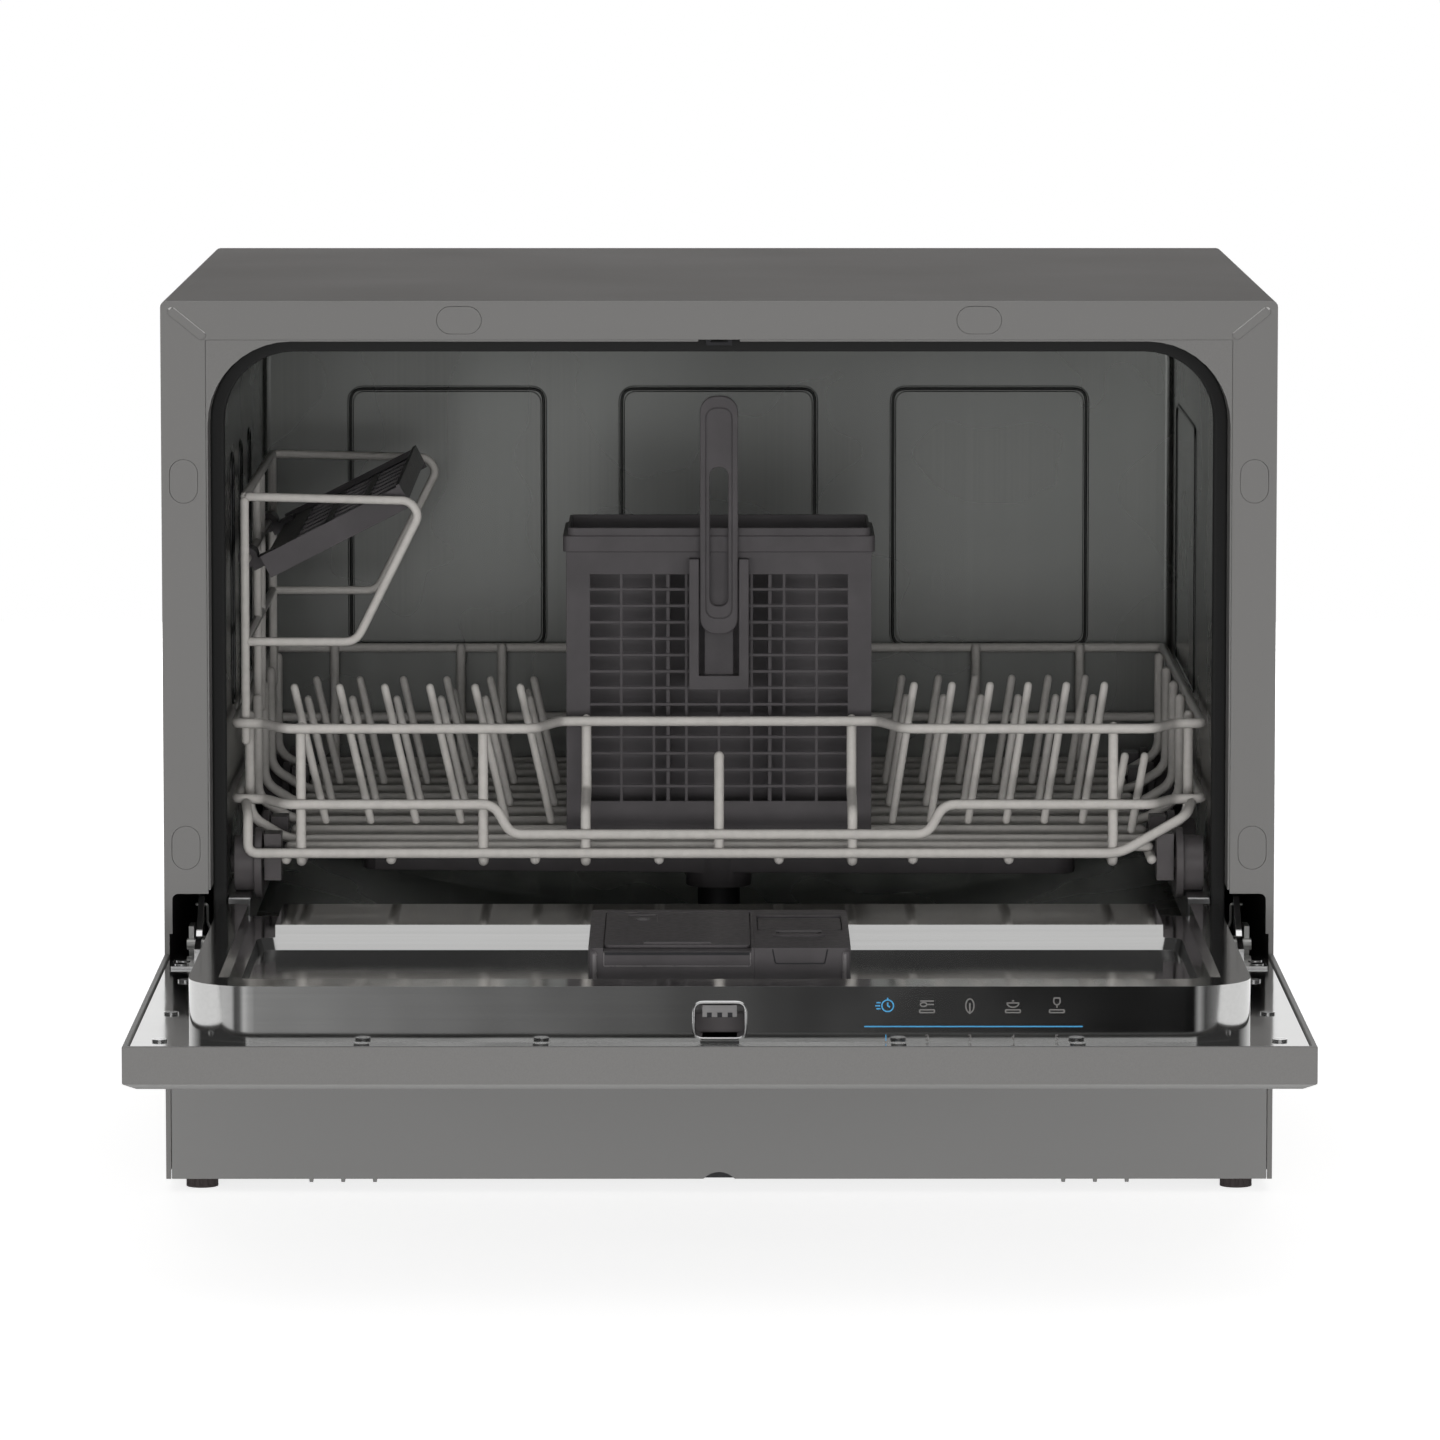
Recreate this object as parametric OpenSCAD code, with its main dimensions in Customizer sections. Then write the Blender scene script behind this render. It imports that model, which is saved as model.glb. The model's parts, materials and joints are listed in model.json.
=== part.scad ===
// Countertop dishwasher with its door laid open and its wire dish basket pushed home.
// Millimetres. X runs across the front, Y from the front to the back and Z up.
// The modules draw with Y = 0 at the cabinet's front face; place() moves each piece to
// the part's own origin, under the middle of the open machine.

/* [Cabinet] */
// Width of the casing
cab_w = 550; // [540:1:570]
// Height of the casing's top above the worktop
cab_h = 443; // [438:1:455]
// Depth of the casing
cab_d = 474; // [468:1:490]
// Thickness of the casing's painted steel
skin = 0.8; // [0.6:0.1:1]
// Radius of the casing's long outer edges
cab_edge_r = 3; // [2:0.5:5]
// Height of the feet
foot_h = 6; // [5:0.5:8]
// Diameter of a foot
foot_dia = 16; // [14:1:20]
// Width of the folded front strip at each side
strip_w = 22; // [20:0.5:23]
// Height of the folded front strip along the top
head_w = 19; // [17:0.5:19.5]
// Width of the mitre bead across each top corner
bead_w = 3; // [2:0.5:4]
// Top of the plinth
plinth_top = 125; // [124:0.5:125]
// Width of the casing edge left beside the plinth
plinth_edge = 2.5; // [2:0.5:4]

/* [Mouth and tub] */
// Width of the face between the casing's side and the mouth
mouth_side = 23; // [22:0.5:23.5]
// Height between the mouth and the casing's top
mouth_drop = 20; // [19:0.5:21]
// Corner radius of the mouth
mouth_r = 41; // [36:1:45]
// Width of the door seal that shows in the mouth
seal_w = 6.6; // [6:0.2:6.8]
// Depth of the seal from its face to the tub
seal_d = 11.5; // [9:0.5:13]
// Step from the mouth to the tub's side wall
tub_step = 5; // [4.5:0.1:5.5]
// Step from the mouth's top to the tub's ceiling
tub_drop = 5; // [4:0.5:6]
// Room behind the tub's back wall
tub_room = 36; // [32:0.5:37]
// Thickness of the tub's steel
tub_t = 0.8; // [0.6:0.1:1]
// Corner radius of the tub
tub_r = 35; // [30:1:38]
// Rim of the tub's floor basin
basin_top = 118; // [116:0.5:119]
// Underside of the floor basin
basin_low = 88; // [86:0.5:90]

/* [Door] */
// Thickness of the outer door panel
door_t = 20.5; // [19:0.5:22]
// Thickness of the door panel's side rim
door_rim = 2.8; // [2:0.2:3.2]
// Bevel round the outer edge of the door
door_bevel = 6; // [4:0.5:8]
// Gap between the closed door and the cabinet's top
door_top_gap = 2; // [1:0.5:4]
// Gap between the closed door and the front face
door_face_gap = 0.9; // [0.8:0.1:1.4]
// Distance of the hinge axis behind the front face
pivot_y = 3.5; // [3:0.1:4]
// Height of the hinge axis
pivot_z = 123.5; // [123:0.1:124]
// Height of the door's inner lining above its flange
liner_rise = 26; // [24:0.5:26]
// Gap between the raised lining and the mouth at each side
liner_gap = 4.8; // [4.5:0.1:5.5]
// Corner radius of the raised lining
liner_r = 32; // [28:1:36]
// Distance of the lining's front wall from the door's end
liner_inset = 22; // [20:0.5:24]
// Depth of the pan pressed into the lining
pan_depth = 12; // [10:0.5:12.5]
// Width of the detergent dispenser
disp_w = 124; // [122:1:128]
// Length of the detergent dispenser
disp_l = 137; // [135:1:140]

/* [Basket] */
// Radius of the basket's coated wire
wire_r = 2.5; // [2.2:0.1:2.7]
// Radius of the plate pins
pin_r = 2.1; // [1.8:0.1:2.4]
// Gap between the basket's wheels and the tub at each side
basket_side = 2.5; // [2.3:0.1:4]
// Gap between the basket and the tub's back wall
basket_rear = 8; // [6:0.5:18]
// Width of the ledge that a wheel rolls on
ledge_w = 11.3; // [10.5:0.1:11.5]
// Height of the basket's top rail
rail_z = 228; // [224:1:232]
// Height of the basket's middle rail
mid_z = 190; // [187:1:194]
// Height of the basket's floor wires
floor_z = 165.5; // [164.5:0.5:167]
// Tread radius of a wheel
wheel_r = 14; // [13:0.5:14]
// Flange radius of a wheel
flange_r = 17.8; // [16.5:0.2:18]
// Length of a plate pin
pin_h = 74; // [60:1:80]
// Lean of the plate pins
pin_lean = 12.9; // [8:0.5:16]
// Spacing of the left plate pins
left_pitch = 23; // [22:0.5:23]
// Spacing of the right plate pins
right_pitch = 19.4; // [18:0.2:19.6]
// Tilt of the cup shelf as it stands
shelf_tilt = 27; // [20:1:32]
// Reach of the cup shelf from its hinge
shelf_reach = 86; // [75:1:90]
// Width of the cutlery basket
cutlery_w = 154; // [148:1:154]
// Height of the cutlery basket
cutlery_h = 155; // [145:1:158]
// Depth of the cutlery basket
cutlery_d = 80; // [70:1:86]

/* [Hidden] */
$fn = 48;
fit = 0.05;
slack = 0.3;
touch = 0.1;
door_w = cab_w;
mouth_w = cab_w - 2 * mouth_side;
tub_w = mouth_w - 2 * tub_step;
liner_w = mouth_w - 2 * liner_gap;
basket_w = tub_w - 2 * basket_side;
door_top = pivot_z - pivot_y - door_face_gap;
door_low = door_top - door_t;
door_reach = cab_h - door_top_gap - pivot_z - pivot_y;
door_end = 3;
origin_y = (door_reach - cab_d) / 2;
mouth_top = cab_h - mouth_drop;
tub_top = mouth_top - tub_drop;
tub_back = cab_d - tub_room;
flange_z = door_top - 1.1;
ledge_z = flange_z + liner_rise;
closed_y = pivot_y + ledge_z - pivot_z;
seal_y = closed_y + 0.5;
seal_top = mouth_top - seal_w;
seal_half = mouth_w / 2 - seal_w;
frame_t = seal_y - 1;
tub_y = seal_y + seal_d;
pan_z = ledge_z - pan_depth;
liner_y = liner_inset - door_reach;
liner_end = -0.5;
pan_front = liner_y + 25;
pan_rear = -78;
track_in = basket_w / 2 - ledge_w;
pan_w = 2 * track_in - 14.4;
track_z = ledge_z - 6;
disp_top = ledge_z + 6;
disp_rear = -68;
disp_front = disp_rear - disp_l;
disp_floor = flange_z + 4;
disp_split = 16.4;
lid_t = 1.4;
lid_z = disp_top - lid_t - 0.2;
flap_y = disp_rear - 72;
basket_x = basket_w / 2 - wire_r;
basket_y = closed_y + 3.5 + wire_r;
basket_back = tub_back - basket_rear;
corner_y = basket_y + 24;
middle_y = basket_y + 34;
dip_z = mid_z - 15;
runner_z = floor_z - 2 * wire_r - touch;
low_x = basket_x - 24;
weld = 2 * wire_r * cos(22.5) + touch;
dip_x = basket_x - 130;
jog_x = basket_x - 150;
middle = (basket_y + basket_back) / 2;
stay_ys = [basket_y + 57, basket_y + 135, middle, basket_back - 130, basket_back - 57];
cross_ys = [
    basket_y + 28, basket_y + 96, basket_y + 174,
    basket_back - 165, basket_back - 95, basket_back - 30
];
post_x = cutlery_w / 2 - 10.4;
flange_t = 3.8;
wheel_x0 = track_in - flange_t - 0.8;
wheel_x1 = basket_w / 2;
wheel_z = ledge_z + wheel_r + fit;
wheel_gap = 71;
wheel_ys = [
    basket_y + wire_r + flange_r + 1.2,
    basket_y + wire_r + flange_r + 1.2 + wheel_gap,
    basket_back - wire_r - flange_r - 1.2 - wheel_gap,
    basket_back - wire_r - flange_r - 1.2
];
axle_r = 3;
shelf_x = 4.45 - basket_x;
shelf_z = rail_z + 80;
shelf_y0 = basket_y + 47;
shelf_y1 = shelf_y0 + 250;
loop_top = shelf_z + 33;
loop_low = shelf_z - 40;
cutlery_y = middle_y + wire_r + 21;
cutlery_z = floor_z + wire_r + slack;
cutlery_band = 15;
cutlery_rim = 12;
guide_low = 74;
spray_y = (tub_y + tub_back) / 2 + 1;
spray_z = 131;
spray_reach = (tub_back - tub_y) / 2 - 15;
arm_x = cab_w / 2 - 19;
arm_t = 3;
screw_r = 2;
base_z = foot_h + 2.5;
back_y = cab_d - 2.8;
softener_x = 57 - tub_w / 2;
softener_y = tub_y + 94;
float_x = tub_w / 2 - 57;
float_y = tub_y + 68;
salt_z = basin_low + 16;
float_z = basin_low + 13;
fascia_y0 = 10 - door_reach;
fascia_y1 = fascia_y0 + 44;
fascia_t = 2;
button_r = 6;
button_xs = [79 - door_w / 2, door_w / 2 - 157, door_w / 2 - 125];
board_xs = [51 - door_w / 2, door_w / 2 - 81];
board_z = door_low + 6.2;
plug_xs = [147 - cab_w / 2, cab_w / 2 - 147];
plug_zs = [plinth_top + 47, cab_h - 89];
port_z = 48;
inlet_x = 67 - cab_w / 2;
drain_x = 125 - cab_w / 2;
power_x = cab_w / 2 - 70;
spring_y = pivot_y + 17.5;
spring_top = pivot_z + 2.5;
spring_low = 28;
spring_x = arm_x - 1;
spring_wire = 0.8;
tail_z = pivot_z + 17.5;

// Points of an arc in the drawing plane
function arc(cx, cy, r, a0, a1, n = 6) =
    [for (i = [0:n]) let(a = a0 + (a1 - a0) * i / n) [cx + r * cos(a), cy + r * sin(a)]];

// A rectangle with round corners
function rounded(x0, y0, x1, y1, r, n = 6) = concat(
    arc(x1 - r, y0 + r, r, -90, 0, n), arc(x1 - r, y1 - r, r, 0, 90, n),
    arc(x0 + r, y1 - r, r, 90, 180, n), arc(x0 + r, y0 + r, r, 180, 270, n));

// An upright arch with round top corners, as the mouth and the tub have
function arch(half, top, bottom, r, n = 8) = concat(
    [[half, bottom]], arc(half - r, top - r, r, 0, 90, n),
    arc(r - half, top - r, r, 90, 180, n), [[-half, bottom]]);

// A rectangle whose front corners are round and whose rear corners are square
function apron(half, front, back, r, n = 8) = concat(
    [[-half, back]], arc(r - half, front + r, r, 180, 270, n),
    arc(half - r, front + r, r, 270, 360, n), [[half, back]]);

function unit(v) = v / norm(v);

// Round each inner corner of a path off by a distance d
function bent(p, d) = [
    p[0],
    for (i = [1:len(p) - 2])
        let(a = p[i] + d * unit(p[i - 1] - p[i]), b = p[i] + d * unit(p[i + 1] - p[i]))
            each [a, p[i] / 2 + (a + b) / 4, b],
    p[len(p) - 1]
];

// Direction of a path at its point i
function heading(p, i) =
    i == 0 ? unit(p[1] - p[0]) :
    i == len(p) - 1 ? unit(p[i] - p[i - 1]) :
    unit(unit(p[i + 1] - p[i]) + unit(p[i] - p[i - 1]));

// A ring of points round p, square to n
function ring(p, n, r, sides) =
    let(aside = abs(n[2]) < 0.8 ? [0, 0, 1] : [0, 1, 0], u = unit(cross(n, aside)), v = cross(n, u))
        [for (i = [0:sides - 1]) let(a = 360 * (i + 0.5) / sides) p + r * (cos(a) * u + sin(a) * v)];

module place() {
    translate([0, origin_y, 0]) children();
}

module both_sides() {
    children();
    mirror([1, 0, 0]) children();
}

// Raise a profile drawn in X and Y from z0 to z1
module raise(z0, z1) {
    translate([0, 0, z0]) linear_extrude(z1 - z0) children();
}

// Run a profile drawn in X and Z from y0 to y1
module deepen(y0, y1) {
    translate([0, y1, 0]) rotate([90, 0, 0]) linear_extrude(y1 - y0) children();
}

// Run a profile drawn in Y and Z from x0 to x1
module widen(x0, x1) {
    translate([x0, 0, 0]) rotate([90, 0, 90]) linear_extrude(x1 - x0) children();
}

module block(x0, x1, y0, y1, z0, z1) {
    translate([x0, y0, z0]) cube([x1 - x0, y1 - y0, z1 - z0]);
}

module rod_x(x0, x1, y, z, r) {
    translate([x0, y, z]) rotate([0, 90, 0]) cylinder(h = x1 - x0, r = r);
}

module rod_y(x, y0, y1, z, r) {
    translate([x, y0, z]) rotate([-90, 0, 0]) cylinder(h = y1 - y0, r = r);
}

module rod_z(x, y, z0, z1, r) {
    translate([x, y, z0]) cylinder(h = z1 - z0, r = r);
}

// A bent wire along a path
module wire(path, r = wire_r, sides = 8) {
    for (i = [0:len(path) - 2])
        hull() polyhedron(
            points = concat(
                ring(path[i], heading(path, i), r, sides),
                ring(path[i + 1], heading(path, i + 1), r, sides)),
            faces = concat(
                [[for (k = [0:sides - 1]) k], [for (k = [0:sides - 1]) 2 * sides - 1 - k]],
                [for (k = [0:sides - 1])
                    [(k + 1) % sides, k, sides + k, sides + (k + 1) % sides]]));
}

// Stadium-shaped outline standing on its end
module stadium(cx, cz, w, h) {
    r = min(w, h) / 2;
    polygon(rounded(cx - w / 2, cz - h / 2, cx + w / 2, cz + h / 2, r - 0.01));
}

module plug_outlines(grow) {
    for (x = plug_xs) stadium(x, cab_h - head_w / 2, 22 + grow, 13.4 + grow);
    for (z = plug_zs, s = [-1, 1])
        stadium(s * (cab_w / 2 - strip_w / 2), z, 13.8 + grow, 21.5 + grow);
}

// Cabinet

module outer_casing() {
    half = cab_w / 2;
    cut_top = 149;
    color([0.46, 0.46, 0.45]) place() {
        difference() {
            union() {
                deepen(0, cab_d) difference() {
                    polygon(arch(half, cab_h, foot_h, cab_edge_r, 4));
                    polygon(arch(half - skin, cab_h - skin, foot_h - 1, cab_edge_r - skin, 4));
                }
                deepen(0, 1) difference() {
                    polygon(arch(half - skin, cab_h - skin, cut_top - 20, cab_edge_r - skin, 4));
                    polygon(arch(half - strip_w, cab_h - head_w, foot_h, 0.5, 1));
                }
                both_sides() block(half - plinth_edge, half - skin, 0, 1, foot_h, cut_top - 20);
                both_sides() mitre_bead(half);
            }
            deepen(-2, 2) plug_outlines(0.4);
            deepen(-2, 2) both_sides() polygon(rounded(
                half - strip_w - 10, cut_top - 40, half - 4, cut_top, 3));
        }
    }
}

// The pressed bead that runs across the mitre of each top corner
module mitre_bead(half) {
    from = [half - 5, cab_h - 4];
    to = [half - strip_w + 2, cab_h - head_w + 2];
    run = norm(from - to);
    tilt = atan2(from[1] - to[1], from[0] - to[0]);
    translate([to[0], 0, to[1]]) rotate([0, -tilt, 0]) intersection() {
        rotate([0, 90, 0]) cylinder(h = run, r = bead_w / 2);
        block(-1, run + 1, -0.7, 0, -bead_w, bead_w);
    }
}

module front_frame() {
    color([0.47, 0.47, 0.46]) place() difference() {
        union() {
            deepen(1, seal_y) difference() {
                polygon(arch(cab_w / 2 - 7, cab_h - 5, ledge_z + 7, 20));
                polygon(arch(mouth_w / 2, mouth_top, ledge_z + 6, mouth_r, 10));
            }
            deepen(0.2, 1) difference() {
                polygon(arch(cab_w / 2 - strip_w - slack, cab_h - head_w - slack, ledge_z + 7, 0.5, 1));
                polygon(arch(mouth_w / 2, mouth_top, ledge_z + 6, mouth_r, 10));
            }
            deepen(seal_y, tub_y) difference() {
                polygon(arch(mouth_w / 2 + 4, mouth_top + 4, ledge_z + 7, mouth_r + 4, 10));
                polygon(arch(mouth_w / 2 + fit, mouth_top + fit, ledge_z + 6, mouth_r, 10));
            }
        }
        block(-10.3, 10.3, -1, 16, mouth_top - 2, mouth_top + 6);
        deepen(0, 3) plug_outlines(-2);
    }
}

module frame_plugs() {
    color([0.45, 0.45, 0.44]) place() {
        deepen(0, 0.95) plug_outlines(0);
        deepen(0.95, 3) plug_outlines(-2.2);
    }
}

module back_panel() {
    half = cab_w / 2 - skin - slack;
    color([0.44, 0.44, 0.43]) place() {
        difference() {
            union() {
                deepen(back_y, back_y + 0.8) polygon(arch(half, cab_h - skin - slack, foot_h + 3, 3, 3));
                for (k = [0:3]) deepen(back_y + 0.8, back_y + 2)
                    translate([0, cab_h - 193 + 45 * k]) polygon(rounded(84 - half, -4, half - 84, 4, 3.9));
            }
            for (k = [0:5], z = [150, 172]) both_sides()
                deepen(back_y - 1, back_y + 3) translate([half - 74 - 16 * k, z])
                    polygon(rounded(-5, -2, 5, 2, 1.9, 3));
            rod_y(inlet_x, back_y - 1, back_y + 1, port_z, 14);
            rod_y(drain_x, back_y - 1, back_y + 1, port_z, 12);
            rod_y(power_x, back_y - 1, back_y + 1, port_z, 11);
            screw_places() rod_y(0, back_y - 1, back_y + 1, 0, screw_r + fit);
        }
    }
}

module screw_places() {
    for (s = [-1, 1], z = [40, cab_h - 223, cab_h - 43]) translate([s * (cab_w / 2 - 13), 0, z]) children();
    for (x = [-120, 120]) translate([x, 0, cab_h - 11]) children();
}

module casing_screws() {
    color([0.6, 0.6, 0.62]) place() screw_places() {
        rod_y(0, back_y - 6, back_y + 0.85, 0, screw_r);
        difference() {
            rod_y(0, back_y + 0.85, back_y + 2.6, 0, 3.6);
            block(-2.6, 2.6, back_y + 1.8, back_y + 3, -0.5, 0.5);
            block(-0.5, 0.5, back_y + 1.8, back_y + 3, -2.6, 2.6);
        }
    }
}

module plinth() {
    half = cab_w / 2 - plinth_edge - 0.3;
    notch = arm_x - 5;
    color([0.46, 0.46, 0.45]) place() {
        difference() {
            union() {
                deepen(0, 1) polygon([
                    [-half, foot_h], [half, foot_h], [half, 100], [notch, 100], [notch, plinth_top],
                    [-notch, plinth_top], [-notch, 100], [-half, 100]]);
                block(-notch, notch, 1, 14, plinth_top - 1.2, plinth_top);
                for (s = [-1, 1], k = [-1, 0, 1])
                    block(s * 187 + k * 15.8 - 1, s * 187 + k * 15.8 + 1, 0, 3.6, foot_h - 1.6, foot_h + 1);
            }
            deepen(-1, 2) polygon(arc(0, foot_h - 7, 10.4, 42, 138, 8));
        }
    }
}

module base_tray() {
    half = cab_w / 2 - 4;
    front = 4;
    rear = back_y - 4;
    color([0.3, 0.29, 0.29]) place() {
        difference() {
            raise(foot_h, 34) polygon(rounded(-half, front, half, rear, 6));
            raise(base_z, 35) polygon(rounded(-half + 2.5, front + 2.5, half - 2.5, rear - 2.5, 4));
            foot_places() rod_z(0, 0, foot_h - 1, base_z + 1, 3.5 + fit);
        }
        for (x = [-130, 0, 130]) block(x - 1, x + 1, front + 2.5, 60, base_z, 16);
        for (y = [rear - 47.2, rear - 27.2]) block(-130, half - 90, y, y + 2, base_z, 14);
    }
}

module foot_places() {
    for (s = [-1, 1], y = [17, cab_d - 24]) translate([s * (cab_w / 2 - 17), y, 0]) children();
}

module feet() {
    color([0.27, 0.26, 0.26]) place() foot_places() {
        difference() {
            rod_z(0, 0, 0, foot_h - 0.3, foot_dia / 2);
            for (a = [0:30:330]) rotate(a) rod_z(foot_dia / 2 + 0.6, 0, 1.2, foot_h, 1.3);
        }
        rod_z(0, 0, foot_h - 0.3, base_z + 5, 3.5);
    }
}

// Tub

// A rounded rectangular groove pressed into a wall
module groove(x0, z0, x1, z1, r, w) {
    difference() {
        polygon(rounded(x0, z0, x1, z1, r));
        polygon(rounded(x0 + w, z0 + w, x1 - w, z1 - w, r - w * 0.7));
    }
}

module tub() {
    half = tub_w / 2;
    press = 0.5;
    pitch = half - 99.6;
    color([0.62, 0.63, 0.64]) place() difference() {
        union() {
            // wrapped sheet of the sides and ceiling, with its front flange
            deepen(tub_y, tub_back + tub_t) difference() {
                polygon(arch(half + tub_t, tub_top + tub_t, basin_top, tub_r + tub_t, 10));
                polygon(arch(half, tub_top, basin_top - 1, tub_r, 10));
            }
            deepen(tub_y, tub_y + 1) difference() {
                polygon(arch(half + 10, tub_top + 12, basin_top + 34, tub_r + 8, 10));
                polygon(arch(half, tub_top, basin_top - 1, tub_r, 10));
            }
        }
        for (k = [0:2], y = tub_y + 84 + 80 * k)
            widen(-half - press, -half + 1) groove(y - 12, tub_top - 188, y + 12, tub_top - 58, 10, 3);
        widen(half - 1, half + press) groove(
            tub_y + 174, tub_top - 193, tub_back - 48, tub_top - 53, 10, 3);
    }
    // back sheet, set into the wrapped one
    color([0.62, 0.63, 0.64]) place() difference() {
        deepen(tub_back, tub_back + tub_t) polygon(arch(half - fit, tub_top - fit, basin_top, tub_r, 10));
        for (x = [-pitch, 0, pitch])
            deepen(tub_back - 1, tub_back + press) groove(x - 54, tub_top - 191, x + 54, tub_top - 48, 8, 3);
    }
}

module tub_floor() {
    half = tub_w / 2 + 3;
    rear = tub_back + 3;
    front = tub_y - 5;
    flat_z = basin_low + 5;
    wall = 2.5;
    color([0.58, 0.59, 0.6]) place() difference() {
        union() {
            difference() {
                hull() {
                    raise(basin_top - wall, basin_top) polygon(rounded(-half, front, half, rear, 4, 2));
                    raise(flat_z - wall, flat_z) polygon(rounded(
                        115 - tub_w / 2, tub_y + 52, tub_w / 2 - 115, tub_back - 46, 60, 4));
                }
                hull() {
                    raise(basin_top - 1, basin_top + 1)
                        polygon(rounded(4 - half, front + 5, half - 4, rear - 4, 20, 3));
                    raise(flat_z, flat_z + 1) polygon(rounded(
                        117 - tub_w / 2, tub_y + 54, tub_w / 2 - 117, tub_back - 48, 60, 4));
                }
            }
            // collars round the salt filler and the float
            rod_z(softener_x, softener_y, salt_z - 4, salt_z + 9, 31);
            rod_z(float_x, float_y, float_z - 3, float_z + 8, 20);
        }
        rod_z(0, spray_y, basin_low - 1, basin_top, 58);
        rod_z(softener_x, softener_y, basin_low - 1, basin_top, 24 + 2 * fit);
        rod_z(softener_x, softener_y, salt_z, basin_top, 28.5);
        rod_z(float_x, float_y, basin_low - 1, basin_top, 8 + 2 * fit);
        rod_z(float_x, float_y, float_z, basin_top, 17.5);
    }
}

// The ledges that carry the basket's wheels inside the tub
module tub_rails() {
    color([0.6, 0.6, 0.61]) place() both_sides() {
        block(track_in, seal_half - slack, closed_y + 0.4, tub_back, ledge_z - 16, ledge_z);
        block(seal_half - slack, tub_w / 2, tub_y + 3, tub_back, ledge_z - 16, ledge_z);
    }
}

module door_gasket() {
    color([0.13, 0.13, 0.13]) place() difference() {
        deepen(seal_y, tub_y) difference() {
            polygon(arch(mouth_w / 2, mouth_top, ledge_z - 16, mouth_r, 10));
            polygon(arch(seal_half, seal_top, ledge_z - 17, tub_r, 10));
        }
        deepen(seal_y + 3, seal_y + 6) difference() {
            polygon(arch(seal_half + 3, seal_top + 3, ledge_z - 17, tub_r + 3, 10));
            polygon(arch(seal_half - 1, seal_top - 1, ledge_z - 18, tub_r - 1, 10));
        }
    }
}

module latch_strike() {
    color([0.25, 0.25, 0.26]) place() {
        block(-9.9, 9.9, 3, 15.6, mouth_top + 3.6, mouth_top + 5.8);
        difference() {
            block(-6.5, 6.5, 8, 10.5, mouth_top - 2.5, mouth_top + 3.6);
            block(-4, 4, 7, 12, mouth_top - 0.7, mouth_top + 1.6);
        }
    }
}

// Water works under the tub

module sump() {
    color([0.22, 0.22, 0.23]) place() difference() {
        union() {
            rod_z(0, spray_y, basin_low - 42, basin_low - 1, 55);
            rod_z(0, spray_y, basin_low - 1, basin_low + 4.9, 57.8);
            rod_y(-30, spray_y + 40, spray_y + 66, basin_low - 28, 9);
            rod_x(40, 66, spray_y + 20, basin_low - 30, 12);
            rod_z(0, spray_y, basin_low + 4.9, spray_z - 3, 11);
        }
        difference() {
            rod_z(0, spray_y, basin_low - 39, basin_low + 6, 52);
            rod_z(0, spray_y, basin_low - 40, basin_low + 7, 14);
        }
        rod_z(0, spray_y, basin_low - 20, spray_z, 8);
    }
}

module filter_plate() {
    z0 = basin_low + 5.1;
    color([0.66, 0.66, 0.66]) place() difference() {
        rod_z(0, spray_y, z0, z0 + 1.6, 86);
        rod_z(0, spray_y, z0 - 1, z0 + 3, 11.4);
        rod_z(0, spray_y - 32, z0 - 1, z0 + 3, 17.3);
        for (k = [0:35]) translate([0, spray_y, z0 - 1]) rotate(k * 10) {
            translate([62, -2, 0]) cube([18, 4, 4]);
        }
    }
}

// Twist-out filter with a grip across its top
module filter_cup() {
    y = spray_y - 32;
    top = basin_low + 9;
    color([0.3, 0.3, 0.31]) place() {
        difference() {
            rod_z(0, y, basin_low - 30, top, 17);
            rod_z(0, y, basin_low - 28, top + 1, 15);
            for (a = [0:45:315], z = [basin_low - 24, basin_low - 12])
                translate([0, y, z]) rotate(a) translate([12, -2.5, 0]) cube([8, 5, 8]);
        }
        difference() {
            rod_z(0, y, top, top + 3, 20);
            rod_z(0, y, top - 1, top + 4, 15);
        }
        block(-15, 15, y - 2, y + 2, top - 6, top + 8);
    }
}

module salt_cap() {
    z0 = salt_z + slack;
    color([0.24, 0.24, 0.25]) place() translate([softener_x, softener_y, 0]) {
        difference() {
            rod_z(0, 0, z0, z0 + 7, 26);
            for (a = [0:20:340]) rotate(a) rod_z(27, 0, z0 - 1, z0 + 8, 2);
        }
        block(-20, 20, -3, 3, z0 + 7, z0 + 12);
        rod_z(0, 0, z0 - 8, z0, 19.5);
    }
}

module water_softener() {
    z1 = basin_low - 2;
    color([0.85, 0.85, 0.83]) place() difference() {
        union() {
            raise(base_z, z1) polygon(rounded(softener_x - 42, softener_y - 42, softener_x + 42, softener_y + 100, 10));
            rod_z(softener_x, softener_y, z1, salt_z, 24);
        }
        rod_z(softener_x, softener_y, base_z + 8, salt_z + 1, 20);
    }
}

module circulation_pump() {
    y = spray_y + 20;
    z = basin_low - 32;
    color([0.3, 0.3, 0.31]) place() {
        difference() {
            union() {
                rod_x(66.2, 92, y, z, 34);
                rod_x(92, 168, y, z, 27);
                rod_x(168, 176, y, z, 20);
            }
            for (x = [117:8:141]) rod_ring(x, y, z, 25, 28, 3);
        }
        for (x = [108, 156]) block(x - 4, x + 4, y - 18, y + 18, base_z, z - 20);
    }
}

// A cooling groove turned round a motor body
module rod_ring(x, y, z, r0, r1, w) {
    difference() {
        rod_x(x, x + w, y, z, r1);
        rod_x(x - 1, x + w + 1, y, z, r0);
    }
}

module drain_pump() {
    y = spray_y + 66.3;
    z = basin_low - 28;
    color([0.26, 0.26, 0.27]) place() {
        rod_y(-30, y, y + 18, z, 24);
        rod_y(-30, y + 18, y + 62, z, 17);
        block(-40, -20, y + 24, y + 54, base_z, z - 15);
    }
}

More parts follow.
